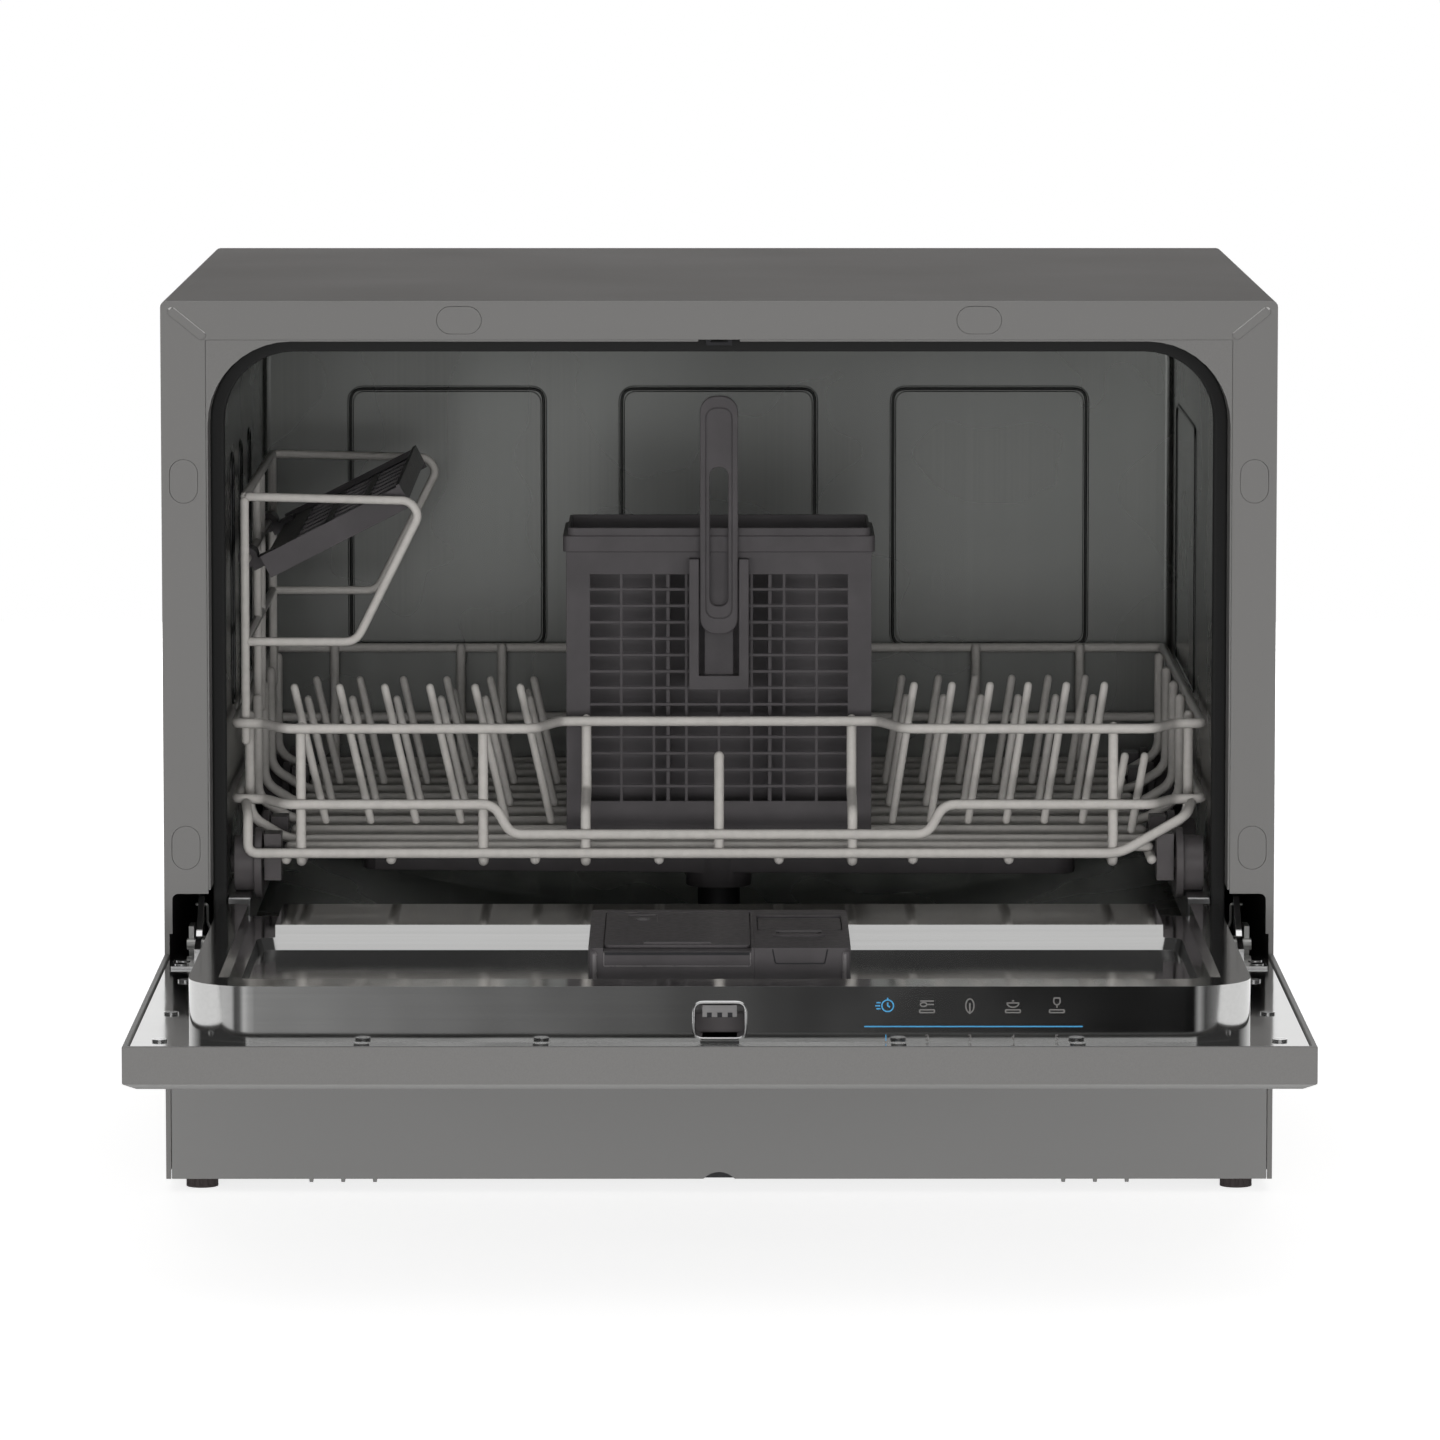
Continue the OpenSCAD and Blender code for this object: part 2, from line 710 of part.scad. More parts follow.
module water_heater() {
    color([0.55, 0.55, 0.56]) place() {
        difference() {
            rod_y(-90, spray_y - 80, spray_y + 60, 46, 15);
            rod_y(-90, spray_y - 81, spray_y + 61, 46, 12);
        }
        for (y = [spray_y - 60, spray_y + 40]) block(-96, -84, y, y + 8, base_z, 33);
    }
}

module float_switch() {
    color([0.8, 0.8, 0.78]) place() {
        block(float_x - 16, float_x + 16, float_y - 12, float_y + 12, basin_low - 18, basin_low - 1);
        rod_z(float_x, float_y, base_z, basin_low - 18, 5);
        rod_z(float_x, float_y, basin_low - 1, float_z + 10, 8);
    }
}

module float_cap() {
    z0 = float_z + slack;
    color([0.75, 0.75, 0.74]) place() translate([float_x, float_y, 0]) difference() {
        union() {
            rod_z(0, 0, z0, z0 + 16, 15);
            rod_z(0, 0, z0 + 16, z0 + 18, 13);
        }
        rod_z(0, 0, z0 - 1, z0 + 10.5, 8 + 2 * fit);
    }
}

module inlet_valve() {
    color([0.82, 0.82, 0.8]) place() {
        difference() {
            union() {
                block(inlet_x - 22, inlet_x + 22, back_y - 50, back_y - 16, base_z, port_z + 18);
                rod_y(inlet_x, back_y - 16, back_y + 1.6, port_z, 12.8);
            }
            rod_y(inlet_x, back_y - 12, back_y + 2, port_z, 9);
        }
    }
}

module drain_connector() {
    color([0.25, 0.25, 0.26]) place() difference() {
        union() {
            block(drain_x - 16, drain_x + 16, back_y - 18, back_y - 8, base_z, port_z + 18);
            rod_y(drain_x, back_y - 8, back_y + 1.6, port_z, 10.8);
        }
        rod_y(drain_x, back_y - 20, back_y + 2, port_z, 8);
    }
}

module power_inlet() {
    color([0.15, 0.15, 0.15]) place() difference() {
        union() {
            rod_y(power_x, back_y - 14, back_y - 0.3, port_z, 13.6);
            rod_y(power_x, back_y - 0.3, back_y + 2, port_z, 9.8);
            block(power_x - 13, power_x + 13, back_y - 14, back_y - 7, base_z, port_z - 8);
        }
        rod_y(power_x, back_y - 15, back_y + 3, port_z, 3.6);
    }
}

// Flat tank with a folded water path, between the tub and the casing
module air_break() {
    x0 = -(cab_w / 2 - skin - slack);
    x1 = -(tub_w / 2 + tub_t + 10.5);
    air_y = tub_y + 114;
    color([0.86, 0.86, 0.83]) place() difference() {
        widen(x0, x1) polygon(rounded(air_y, 150, air_y + 180, cab_h - 43, 14));
        widen(x1 - 4, x1 + 1) for (k = [0:4], y = air_y + 15 + 34 * k)
            polygon(rounded(y, k % 2 == 0 ? 162 : 182, y + 24, cab_h - (k % 2 == 0 ? 73 : 55), 8, 4));
    }
}

// Hinges

module hinge_brackets() {
    x0 = arm_x + arm_t + 1.5;
    color([0.7, 0.7, 0.7]) place() both_sides() {
        difference() {
            widen(x0, x0 + 2.5) polygon([
                [2, pivot_z - 20], [2, pivot_z + 9], [18, pivot_z + 9], [44, 96], [72, base_z + 2],
                [72, base_z], [26, base_z], [26, 60], [14, 90]]);
            rod_x(x0 - 1, x0 + 4, pivot_y, pivot_z, axle_r + fit);
        }
        block(x0 - 14, x0, 34, 70, base_z, base_z + 2);
        block(spring_x - 4, x0, spring_y - 1, spring_y + 1, spring_low - 5, spring_low - 1);
        block(x0 - 0.5, x0 + 2.5, spring_y - 1, 27, spring_low - 5, spring_low - 1);
    }
}

module hinge_pins() {
    color([0.72, 0.72, 0.73]) place() both_sides() {
        rod_x(arm_x - 2, arm_x + arm_t + 5, pivot_y, pivot_z, axle_r);
        rod_x(arm_x - 3.5, arm_x - 2, pivot_y, pivot_z, axle_r + 1.5);
    }
}

// Counterbalance springs that take the door's weight
module door_springs() {
    turns = 15;
    coil_r = 3.6;
    steps = turns * 6;
    rise = spring_top - spring_low;
    hook_x = arm_x - spring_wire - 0.3 - spring_x;
    color([0.6, 0.6, 0.62]) place() both_sides() translate([spring_x, spring_y, 0]) wire(
        concat(
            [for (k = [0:steps])
                [-coil_r * cos(k * 60), coil_r * sin(k * 60), spring_low + rise * k / steps]],
            // hook through the arm's tail
            [[-1.5, 0, spring_top + 3], [hook_x, 0, spring_top + 6], [hook_x, 0, tail_z],
                [hook_x + arm_t + 3, 0, tail_z]]),
        spring_wire, 4);
}

// The arm turns on its pin; its foot carries the door and its tail pulls the spring
module hinge_arms() {
    tail = [spring_y, tail_z];
    color([0.75, 0.75, 0.76]) place() both_sides() {
        difference() {
            widen(arm_x, arm_x + arm_t) polygon(concat(
                [[-22, door_top + 0.3]],
                arc(pivot_y, pivot_z, 8, -38, -20, 2),
                arc(tail[0], tail[1], 5, -45, 135, 6),
                arc(pivot_y, pivot_z, 10, 112, 150, 3),
                [[-16, door_top + 7], [-22, door_top + 5]]));
            rod_x(arm_x - 1, arm_x + arm_t + 1, pivot_y, pivot_z, axle_r + fit);
            rod_x(arm_x - 1, arm_x + arm_t + 1, tail[0], tail[1], 1.6);
        }
        difference() {
            block(arm_x - 4, arm_x + 13, -48, -8, flange_z + fit, flange_z + 1.2);
            for (y = [-40, -28]) rod_z(arm_x + 8, y, flange_z - 1, flange_z + 2, screw_r + fit);
        }
        block(arm_x, arm_x + arm_t, -22, -8, flange_z + 1.2, door_top + 0.3);
    }
}

// Door, drawn as it lies open

module door_panel() {
    half = door_w / 2;
    b = door_bevel;
    color([0.47, 0.47, 0.46]) place() difference() {
        intersection() {
            widen(-half, half) polygon([
                [-door_reach, door_top], [-door_reach, door_low + b * 0.5], [b - door_reach, door_low],
                [-door_end, door_low], [-door_end, door_top]]);
            deepen(-door_reach - 1, 1) polygon([
                [-half, door_top], [-half, door_low + b * 0.5], [b - half, door_low],
                [half - b, door_low], [half, door_low + b * 0.5], [half, door_top]]);
        }
        raise(door_low + 1, door_top + 1) polygon(rounded(
            door_rim - half + 3, 3 - door_reach + door_rim, half - 3 - door_rim, -door_end - 1, 3));
        raise(door_top - 2.6, door_top + 1) polygon(rounded(
            door_rim - half, door_rim - door_reach, half - door_rim, 5, 2));
        raise(door_low - 1, door_low + fascia_t) polygon(rounded(
            18 - half, fascia_y0, half - 18, fascia_y1, 6));
        raise(door_low - 1, door_low + 1.2) polygon(rounded(
            -70, fascia_y1 + 14, 70, fascia_y1 + 46, 10));
    }
    color([0.47, 0.47, 0.46]) place() difference() {
        raise(door_low + 0.5, door_low + 15) polygon(rounded(
            -72, fascia_y1 + 12, 72, fascia_y1 + 48, 11));
        raise(door_low, door_low + 13.6) polygon(rounded(
            -70, fascia_y1 + 14, 70, fascia_y1 + 46, 10));
    }
}

module door_liner() {
    half = liner_w / 2;
    t = 0.8;
    outer = door_w / 2 - door_rim - 0.4;
    front = door_rim + 0.4 - door_reach;
    color([0.68, 0.69, 0.7]) place() difference() {
        union() {
            raise(flange_z - t, flange_z) polygon(apron(outer, front, -door_end - 1, 3, 2));
            raise(flange_z - t, ledge_z) polygon(apron(half, liner_y, liner_end, liner_r));
        }
        // hollow under the ledge
        raise(flange_z - t - 1, ledge_z - t) polygon(apron(half - t, liner_y + t, liner_end - t, liner_r - t));
        // opening for the pan and its wheel tracks
        raise(pan_z, ledge_z + 1) polygon(rounded(-pan_w / 2, pan_front, pan_w / 2, pan_rear, 6, 4));
        both_sides() block(pan_w / 2 - 10, track_in, pan_front + 6, 1, track_z, ledge_z + 1);
        liner_dispenser_cut();
        // latch window
        deepen(liner_y - 1, liner_y + t + 1) polygon(rounded(-12, flange_z + 1.8, 12, flange_z + 18.6, 4));
        // hinge arm screws
        both_sides() for (y = [-40, -28]) rod_z(arm_x + 8, y, flange_z - 2, flange_z + 1, screw_r + fit);
        door_screw_places() rod_z(0, 0, flange_z - 2, flange_z + 1, screw_r + fit);
    }
    color([0.68, 0.69, 0.7]) place() difference() {
        union() {
            raise(pan_z - t, ledge_z - t) polygon(rounded(
                -pan_w / 2 - t, pan_front - t, pan_w / 2 + t, pan_rear + t, 6 + t, 4));
            both_sides() block(pan_w / 2 - 10 - t, track_in + t, pan_front + 6 - t, liner_end - t, track_z - t, ledge_z - t);
        }
        raise(pan_z, ledge_z + 1) polygon(rounded(-pan_w / 2, pan_front, pan_w / 2, pan_rear, 6, 4));
        both_sides() block(pan_w / 2 - 10, track_in, pan_front + 6, 1, track_z, ledge_z + 1);
        raise(track_z - t - 1, ledge_z + 1) polygon([
            [11 - pan_w / 2, pan_rear + t + 0.01], [pan_w / 2 - 11, pan_rear + t + 0.01],
            [pan_w / 2 - 11, 5], [11 - pan_w / 2, 5]]);
        liner_dispenser_cut();
    }
}

module liner_dispenser_cut() {
    raise(flange_z - 3, ledge_z + 2) polygon(rounded(
        -disp_w / 2 + 2, disp_front + 2, disp_w / 2 - 2, disp_rear - 2, 3));
    raise(pan_z, ledge_z + 2) polygon(rounded(
        -disp_w / 2 - fit, disp_front - fit, disp_w / 2 + fit, disp_rear + fit, 4));
}

module door_screw_places() {
    x = liner_w / 2 + 12;
    for (s = [-1, 1], y = [-90, -200, 26 - door_reach]) translate([s * x, y, 0]) children();
    for (s = [-1, 1], k = [1, 2]) translate([s * k * (liner_w / 2 - 82) / 2, 13 - door_reach, 0]) children();
}

module door_screws() {
    color([0.7, 0.7, 0.7]) place() {
        door_screw_places() {
            rod_z(0, 0, flange_z - 8, flange_z, screw_r);
            difference() {
                rod_z(0, 0, flange_z, flange_z + 1, 3.6);
                block(-2.6, 2.6, -0.5, 0.5, flange_z + 0.5, flange_z + 2);
            }
        }
        both_sides() for (y = [-40, -28]) {
            rod_z(arm_x + 8, y, flange_z - 8, flange_z + 1.25, screw_r);
            rod_z(arm_x + 8, y, flange_z + 1.25, flange_z + 1.7, 3.4);
        }
    }
}

module control_fascia() {
    half = door_w / 2 - 18 - 0.2;
    color([0.1, 0.1, 0.11]) place() difference() {
        raise(door_low, door_low + fascia_t) polygon(rounded(
            -half, fascia_y0 + 0.2, half, fascia_y1 - 0.2, 5.8));
        display_outline(0.2, door_low - 1, door_low + fascia_t + 1);
        for (x = button_xs) rod_z(x, (fascia_y0 + fascia_y1) / 2, door_low - 1, door_low + 3, button_r + 0.3);
        for (x = [-40:16:56]) rod_z(x, fascia_y1 - 8, door_low - 1, door_low + 3, 1.2);
    }
    color([0.1, 0.1, 0.11]) place() for (x = board_xs)
        rod_z(x, (fascia_y0 + fascia_y1) / 2, door_low + fascia_t, board_z - fit, 3);
}

module display_outline(grow, z0, z1) {
    raise(z0, z1) polygon(rounded(
        -46 - grow, fascia_y0 + 10 - grow, 46 + grow, fascia_y0 + 30 + grow, 2 + grow));
}

module display_window() {
    color([0.05, 0.06, 0.08]) place() display_outline(0, door_low + 0.3, door_low + fascia_t);
}

module control_board() {
    y = (fascia_y0 + fascia_y1) / 2;
    color([0.12, 0.36, 0.2]) place() difference() {
        union() {
            block(board_xs[0] - 6, board_xs[1] + 6, y - 15, y + 15, board_z, board_z + 1.6);
            for (x = button_xs) block(x - 3, x + 3, y - 3, y + 3, board_z - 1.6, board_z);
            for (x = [-190:70:90]) block(x + 20, x + 34, y - 8, y + 2, board_z + 1.6, board_z + 4.8);
        }
        for (x = board_xs) rod_z(x, y, board_z - 1, board_z + 3, 1.4);
    }
}

module push_button(x) {
    color([0.62, 0.62, 0.63]) place() translate([x, (fascia_y0 + fascia_y1) / 2, 0]) {
        rod_z(0, 0, door_low - 0.8, door_low + fascia_t + 0.2, button_r);
        rod_z(0, 0, door_low + fascia_t + 0.2, door_low + 3.2, button_r - 1.5);
    }
}

module button_power() { push_button(button_xs[0]); }
module button_program() { push_button(button_xs[1]); }
module button_start() { push_button(button_xs[2]); }

// Latch

module latch_housing() {
    y0 = liner_y + 0.8 + fit;
    color([0.2, 0.2, 0.21]) place() difference() {
        block(-17, 17, y0, y0 + 22, flange_z + 0.2, ledge_z - 0.9);
        block(-12, 12, y0 - 1, y0 + 19, flange_z + 1.8, flange_z + 18.6);
    }
}

module latch_bezel() {
    color([0.85, 0.85, 0.86]) place() deepen(liner_y - 0.8, liner_y) difference() {
        polygon(rounded(-12.8, flange_z + 1, 12.8, flange_z + 19.4, 4.8));
        polygon(rounded(-11.4, flange_z + 2.4, 11.4, flange_z + 18, 3.4));
    }
}

module latch_hook() {
    y0 = liner_y + 2;
    z1 = flange_z + 17;
    color([0.4, 0.39, 0.4]) place() difference() {
        union() {
            block(-8, 8, y0, y0 + 4, z1 - 5.5, z1);
            block(-6, 6, y0 + 4, y0 + 15, z1 - 4, z1 - 1);
            rod_x(-11.8, 11.8, y0 + 14, z1 - 3, 2.4);
        }
        for (x = [-4.8, 0, 4.8]) block(x - 0.9, x + 0.9, y0 - 1, y0 + 2.4, z1 - 6, z1 - 3.4);
    }
}

// Detergent dispenser

// The housing between two sides, above its back plate
module dispenser_shell(x0, x1) {
    half = disp_w / 2;
    intersection() {
        union() {
            raise(pan_z + fit, disp_top) polygon(rounded(-half, disp_front, half, disp_rear, 4));
            raise(disp_floor, pan_z + fit) polygon(rounded(
                2.2 - half, disp_front + 2.2, half - 2.2, disp_rear - 2.2, 3));
            both_sides() translate([half - 3.2, 0, 0]) block(
                0, 2.2, disp_front - 1.6, disp_front + 2, pan_z + 0.4, disp_top - 1.5);
        }
        block(x0, x1, disp_front - 9, disp_rear + 9, disp_floor - 1, disp_top + 1);
    }
}

module dispenser_body() {
    half = disp_w / 2;
    color([0.27, 0.26, 0.27]) place() {
        // back plate that closes both wells
        raise(flange_z - 2, disp_floor - fit) polygon(rounded(
            2.2 - half, disp_front + 2.2, half - 2.2, disp_rear - 2.2, 3));
        difference() {
            dispenser_shell(-half - 1, disp_split);
            // detergent cup
            raise(disp_floor - 1, disp_top + 1) polygon(rounded(-48, disp_front + 22, 8, disp_rear - 20, 8));
            // guides and seat of the sliding lid
            raise(lid_z - 0.2, disp_top + 1) polygon([
                [-55, disp_front - 1], [15, disp_front - 1], [15, disp_rear - 9], [-55, disp_rear - 9]]);
        }
        difference() {
            dispenser_shell(disp_split + fit, half + 1);
            // filler well and seat of the rinse flap
            raise(disp_floor - 1, disp_top + 1) polygon(rounded(25, flap_y + 15, 51, flap_y + 41, 5));
            raise(disp_top - 3.2, disp_top + 1) polygon(rounded(18, flap_y - 3, 59, flap_y + 52, 2));
            block(27, 49, flap_y - 13, flap_y + 1, disp_top - 14, disp_top + 1);
            raise(disp_top - 1, disp_top + 1) polygon([
                [29, disp_front + 12], [47, disp_front + 12], [51, flap_y - 18], [25, flap_y - 18]]);
        }
    }
}

module detergent_lid() {
    color([0.3, 0.29, 0.3]) place() difference() {
        union() {
            raise(lid_z, lid_z + lid_t) polygon(rounded(-54.6, disp_front + 12, 14.6, disp_rear - 9.4, 2));
            block(-36, -4, disp_front + 16, disp_front + 20, lid_z + lid_t, lid_z + lid_t + 0.9);
        }
        raise(lid_z + lid_t - 0.6, lid_z + lid_t + 1) polygon(rounded(
            -44, disp_rear - 42, -30, disp_rear - 16, 1, 2));
        rod_z(-37, disp_rear - 30, lid_z - 1, lid_z + 3, 2.5);
    }
}

module rinse_flap() {
    color([0.3, 0.29, 0.3]) place() {
        raise(disp_top - 2.6, disp_top - 0.6) polygon(rounded(18.6, flap_y + 4, 58.4, flap_y + 46, 2));
        rod_x(18.6, 58.4, flap_y, disp_top - 1.6, 1.4);
        block(24, 53, flap_y, flap_y + 5, disp_top - 2.6, disp_top - 1);
        raise(disp_top - 2.6, disp_top - 1) polygon([
            [28, flap_y], [48, flap_y], [45, flap_y - 10], [31, flap_y - 10]]);
        rod_z(38, flap_y + 28, disp_top - 7, disp_top - 2.6, 11);
    }
}

// Spray arm

module spray_arm() {
    r0 = 17;
    r1 = 13;
    color([0.24, 0.24, 0.25]) place() translate([0, spray_y, 0]) difference() {
        union() {
            rod_z(0, 0, spray_z - 8, spray_z + 13, r0);
            rod_z(0, 0, spray_z + 13, spray_z + 16, 12);
            raise(spray_z, spray_z + 9) polygon(concat(
                [[-r0 + 2, -15]], arc(spray_reach - r1, -8, r1, -80, 60, 8),
                [[r0 - 2, 15]], arc(r1 - spray_reach, 8, r1, 100, 240, 8)));
            raise(spray_z + 9, spray_z + 11) polygon(concat(
                arc(spray_reach - r1, -6, r1 - 5, -80, 60, 6), arc(r1 - spray_reach, 6, r1 - 5, 100, 240, 6)));
        }
        rod_z(0, 0, spray_z - 9, spray_z - 2.5, 11 + fit);
        for (k = [-6:6]) if (abs(k) > 1)
            translate([k * 27, -sign(k) * 3, spray_z + 6]) rotate(k * 13) translate([-3, -0.9, 0]) cube([6, 1.8, 8]);
    }
}

// Dish basket

function rail_path(z, dip) = [
    [-basket_x, basket_back - 60, z], [-basket_x, corner_y, z], [-basket_x + 14, corner_y, z],
    [-basket_x + 26, basket_y, z],
    each (dip > 0
        ? [[-dip_x, basket_y, z], [8 - dip_x, basket_y, z - dip],
            [dip_x - 8, basket_y, z - dip], [dip_x, basket_y, z]]
        : [[-jog_x, basket_y, z], [12 - jog_x, middle_y, z],
            [jog_x - 12, middle_y, z], [jog_x, basket_y, z]]),
    [basket_x - 26, basket_y, z], [basket_x - 14, corner_y, z], [basket_x, corner_y, z],
    [basket_x, basket_back, z], [-basket_x, basket_back, z], [-basket_x, basket_back - 60, z]
];

post_xs = [33.4 - basket_x, -post_x - 51.1, -post_x, post_x, basket_x - 45.4];

module basket_frame() {
    color([0.8, 0.78, 0.76]) place() {
        wire(bent(rail_path(rail_z, 0), 5));
        wire(bent(rail_path(mid_z, mid_z - dip_z), 5));
        // front bar, turned up at both ends to the middle rail
        wire(bent([
            [-basket_x + 5, corner_y - 3.6, mid_z - 1.4], [-basket_x + 7, basket_y + 4, mid_z - 6],
            [-basket_x + 7, basket_y, mid_z - 14], [-basket_x + 7, basket_y, floor_z],
            [basket_x - 42, basket_y, floor_z], [basket_x - 9, basket_y + 3, mid_z - 6],
            [basket_x - 5, corner_y - 3.6, mid_z - 1.4]], 3));
        wire([[-low_x, basket_back, floor_z], [low_x, basket_back, floor_z]]);
        // hairpins that stand inside the rails and run on below the floor
        for (x = post_xs) wire(bent(concat(
            abs(x) < 80
                ? [[x, middle_y + weld, rail_z + 3], [x, middle_y + weld, mid_z + 3],
                    [x, basket_y + weld, mid_z - 4]]
                : [[x, basket_y + weld, rail_z + 3]],
            [[x, basket_y + weld, runner_z], [x, basket_back - weld, runner_z],
                [x, basket_back - weld, rail_z + 3]]), 4));
        for (x = [102 - basket_x, 0, basket_x - 102])
            wire([[x, basket_back - weld, floor_z - 3], [x, basket_back - weld, rail_z + 3]]);
        wire([[0, basket_y + weld, floor_z - 3], [0, basket_y + weld, floor_z + 14],
            [0, basket_y + weld + 6, floor_z + 50]]);
    }
}

module basket_floor() {
    stay_x = basket_x - 2 * wire_r - touch;
    edge_x = low_x - 1.5;
    color([0.78, 0.76, 0.74]) place() {
        // cross wires turned up at both sides as stays for the rails
        for (y = stay_ys) wire(bent([
            [-stay_x, y, rail_z + 3], [-stay_x, y, floor_z + 12], [-low_x, y, floor_z],
            [low_x, y, floor_z], [stay_x, y, floor_z + 12], [stay_x, y, rail_z + 3]], 5));
        for (y = cross_ys) wire([[-low_x, y, floor_z], [low_x, y, floor_z]]);
        for (x = [
            -edge_x, 52.5 - edge_x, -cutlery_w / 2 - 15, -30, 30, cutlery_w / 2 + 20, edge_x - 71.5, edge_x])
            wire([[x, basket_y + 10, floor_z - weld], [x, basket_back - 9, floor_z - weld]]);
    }
}

// A straight plate pin that leans to one side
module plate_pin(x, y, h, lean) {
    z = floor_z + wire_r + slack;
    top = [x + h * sin(lean), y, z + h * cos(lean)];
    wire([[x, y, z], top], pin_r, 6);
}

// Three rows of pins from x outwards, as many as the floor has room for
module pin_rows(x, pitch, side, lean) {
    for (y = [cross_ys[1], cross_ys[2], stay_ys[3]], k = [0:floor((low_x - x - 15) / pitch)])
        plate_pin(side * (x + k * pitch), y, y == cross_ys[1] ? pin_h : pin_h * 0.8, side * lean);
}

module left_pins() {
    color([0.8, 0.78, 0.76]) place() {
        pin_rows(cutlery_w / 2 + 8, left_pitch, -1, pin_lean);
        for (k = [0:1])
            plate_pin(-cutlery_w / 2 - 16 - k * 40, stay_ys[4], pin_h * 0.6, -pin_lean);
    }
}

module right_pins() {
    color([0.8, 0.78, 0.76]) place() {
        pin_rows(cutlery_w / 2 + 11, right_pitch, 1, pin_lean * 0.7);
        for (k = [0:1]) plate_pin(low_x - 20 + k * 10, stay_ys[0], 42, 10);
    }
}

// Wire rack along the left side: two loops joined by rails, with a flat strip to hook on
module glass_rack() {
    x = shelf_x;
    y0 = shelf_y0 - 12;
    y1 = shelf_y1 + 12;
    r = 2.2;
    color([0.8, 0.78, 0.76]) place() {
        for (y = [y0, y1]) wire(bent([
            [x, y, loop_top], [x + 82.5, y, loop_top - 2], [x + 87.5, y, loop_top - 9],
            [x + 55.5, y, loop_low], [x, y, loop_low]], 4), r);
        for (z = [loop_low, loop_top]) wire([[x, y0, z], [x, y1, z]], r);
        for (y = [y0, (y0 + y1) / 2 - 20, (y0 + y1) / 2 + 20, y1])
            wire([[x, y, rail_z - 12], [x, y, loop_top]], r);
    }
    color([0.8, 0.78, 0.76]) place() rod_y(x, y0 + 2.6, y1 - 2.6, shelf_z, 2);
}

module wheel_clips() {
    color([0.36, 0.34, 0.34]) place() both_sides() for (y = wheel_ys) {
        rod_x(low_x + 3, wheel_x1 - 1.6, y, wheel_z, axle_r);
        rod_x(wheel_x1 - 1.6, wheel_x1 - 0.1, y, wheel_z, axle_r + 1.6);
        difference() {
            block(low_x + 1 + touch, wheel_x0 - 1, y - 8, y + 8, wheel_z - 8, floor_z + 8);
            rod_x(low_x, wheel_x0, y, wheel_z, axle_r + fit);
        }
    }
}

// A pair of flanged wheels that turn on their axle stubs
module wheel_pair(y) {
    x0 = wheel_x0;
    color([0.36, 0.34, 0.34]) place() both_sides() difference() {
        union() {
            rod_x(x0, x0 + flange_t, y, wheel_z, flange_r);
            rod_x(x0 + flange_t, wheel_x1 - 2, y, wheel_z, wheel_r);
        }
        rod_x(x0 - 1, wheel_x1 + 1, y, wheel_z, axle_r + fit);
        for (a = [0:60:300]) translate([0, y, wheel_z]) rotate([a, 0, 0])
            rod_x(wheel_x1 - 6, wheel_x1, 0, 9, 2.6);
    }
}

module front_wheels() { wheel_pair(wheel_ys[0]); }
module second_wheels() { wheel_pair(wheel_ys[1]); }
module third_wheels() { wheel_pair(wheel_ys[2]); }
module rear_wheels() { wheel_pair(wheel_ys[3]); }

// Fold-down shelf for cups, hinged on the rack's middle wire
module cup_shelf() {
    drop = 4.6;
    t = 3;
    inner = 7;
    slots = 8;
    step = (shelf_y1 - shelf_y0 - 20) / slots;
    color([0.28, 0.27, 0.28]) place() translate([shelf_x, 0, shelf_z]) rotate([0, -shelf_tilt, 0]) {
        difference() {
            union() {
                raise(-drop - t, -drop) polygon([
                    [inner, shelf_y0], [shelf_reach, shelf_y0], [shelf_reach, shelf_y1], [inner, shelf_y1]]);
                block(inner, shelf_reach, shelf_y0, shelf_y0 + 2, -drop - 9, -drop + 3);
                block(inner, shelf_reach, shelf_y1 - 2, shelf_y1, -drop - 9, -drop + 3);
                block(shelf_reach - 2, shelf_reach, shelf_y0, shelf_y1, -drop - 6, -drop + 4);
                for (y = [shelf_y0 + 14, shelf_y1 - 34]) {
                    rod_y(0, y, y + 20, 0, 5);
                    block(0, inner + 6, y, y + 20, -drop - t, -2.4);
                }
            }
            for (k = [0:slots - 1], c = [0:2]) {
                y = shelf_y0 + 12 + k * step;
                block(inner + 16 + c * 20, inner + 32 + c * 20, y, y + step - 6, -drop - t - 1, -drop + 1);
            }
            rod_y(0, shelf_y0 - 1, shelf_y1 + 1, 0, 2 + fit);
        }
    }
}

// The holes of a moulded wall of bars, drawn flat from the lower left corner
module cells(w, h, cols, rows, bar) {
    cw = (w - bar) / cols;
    rh = (h - bar) / rows;
    for (c = [0:cols - 1], r = [0:rows - 1])
        translate([bar + c * cw, bar + r * rh]) square([cw - bar, rh - bar]);
}

// A wall of the cutlery basket: a plate with a band round its barred window
module barred_wall(w, h, side, cols) {
    difference() {
        square([w, h]);
        translate([side, cutlery_band]) cells(w - 2 * side, h - 2 * cutlery_band + 5, cols, 14, 1.5);
    }
}

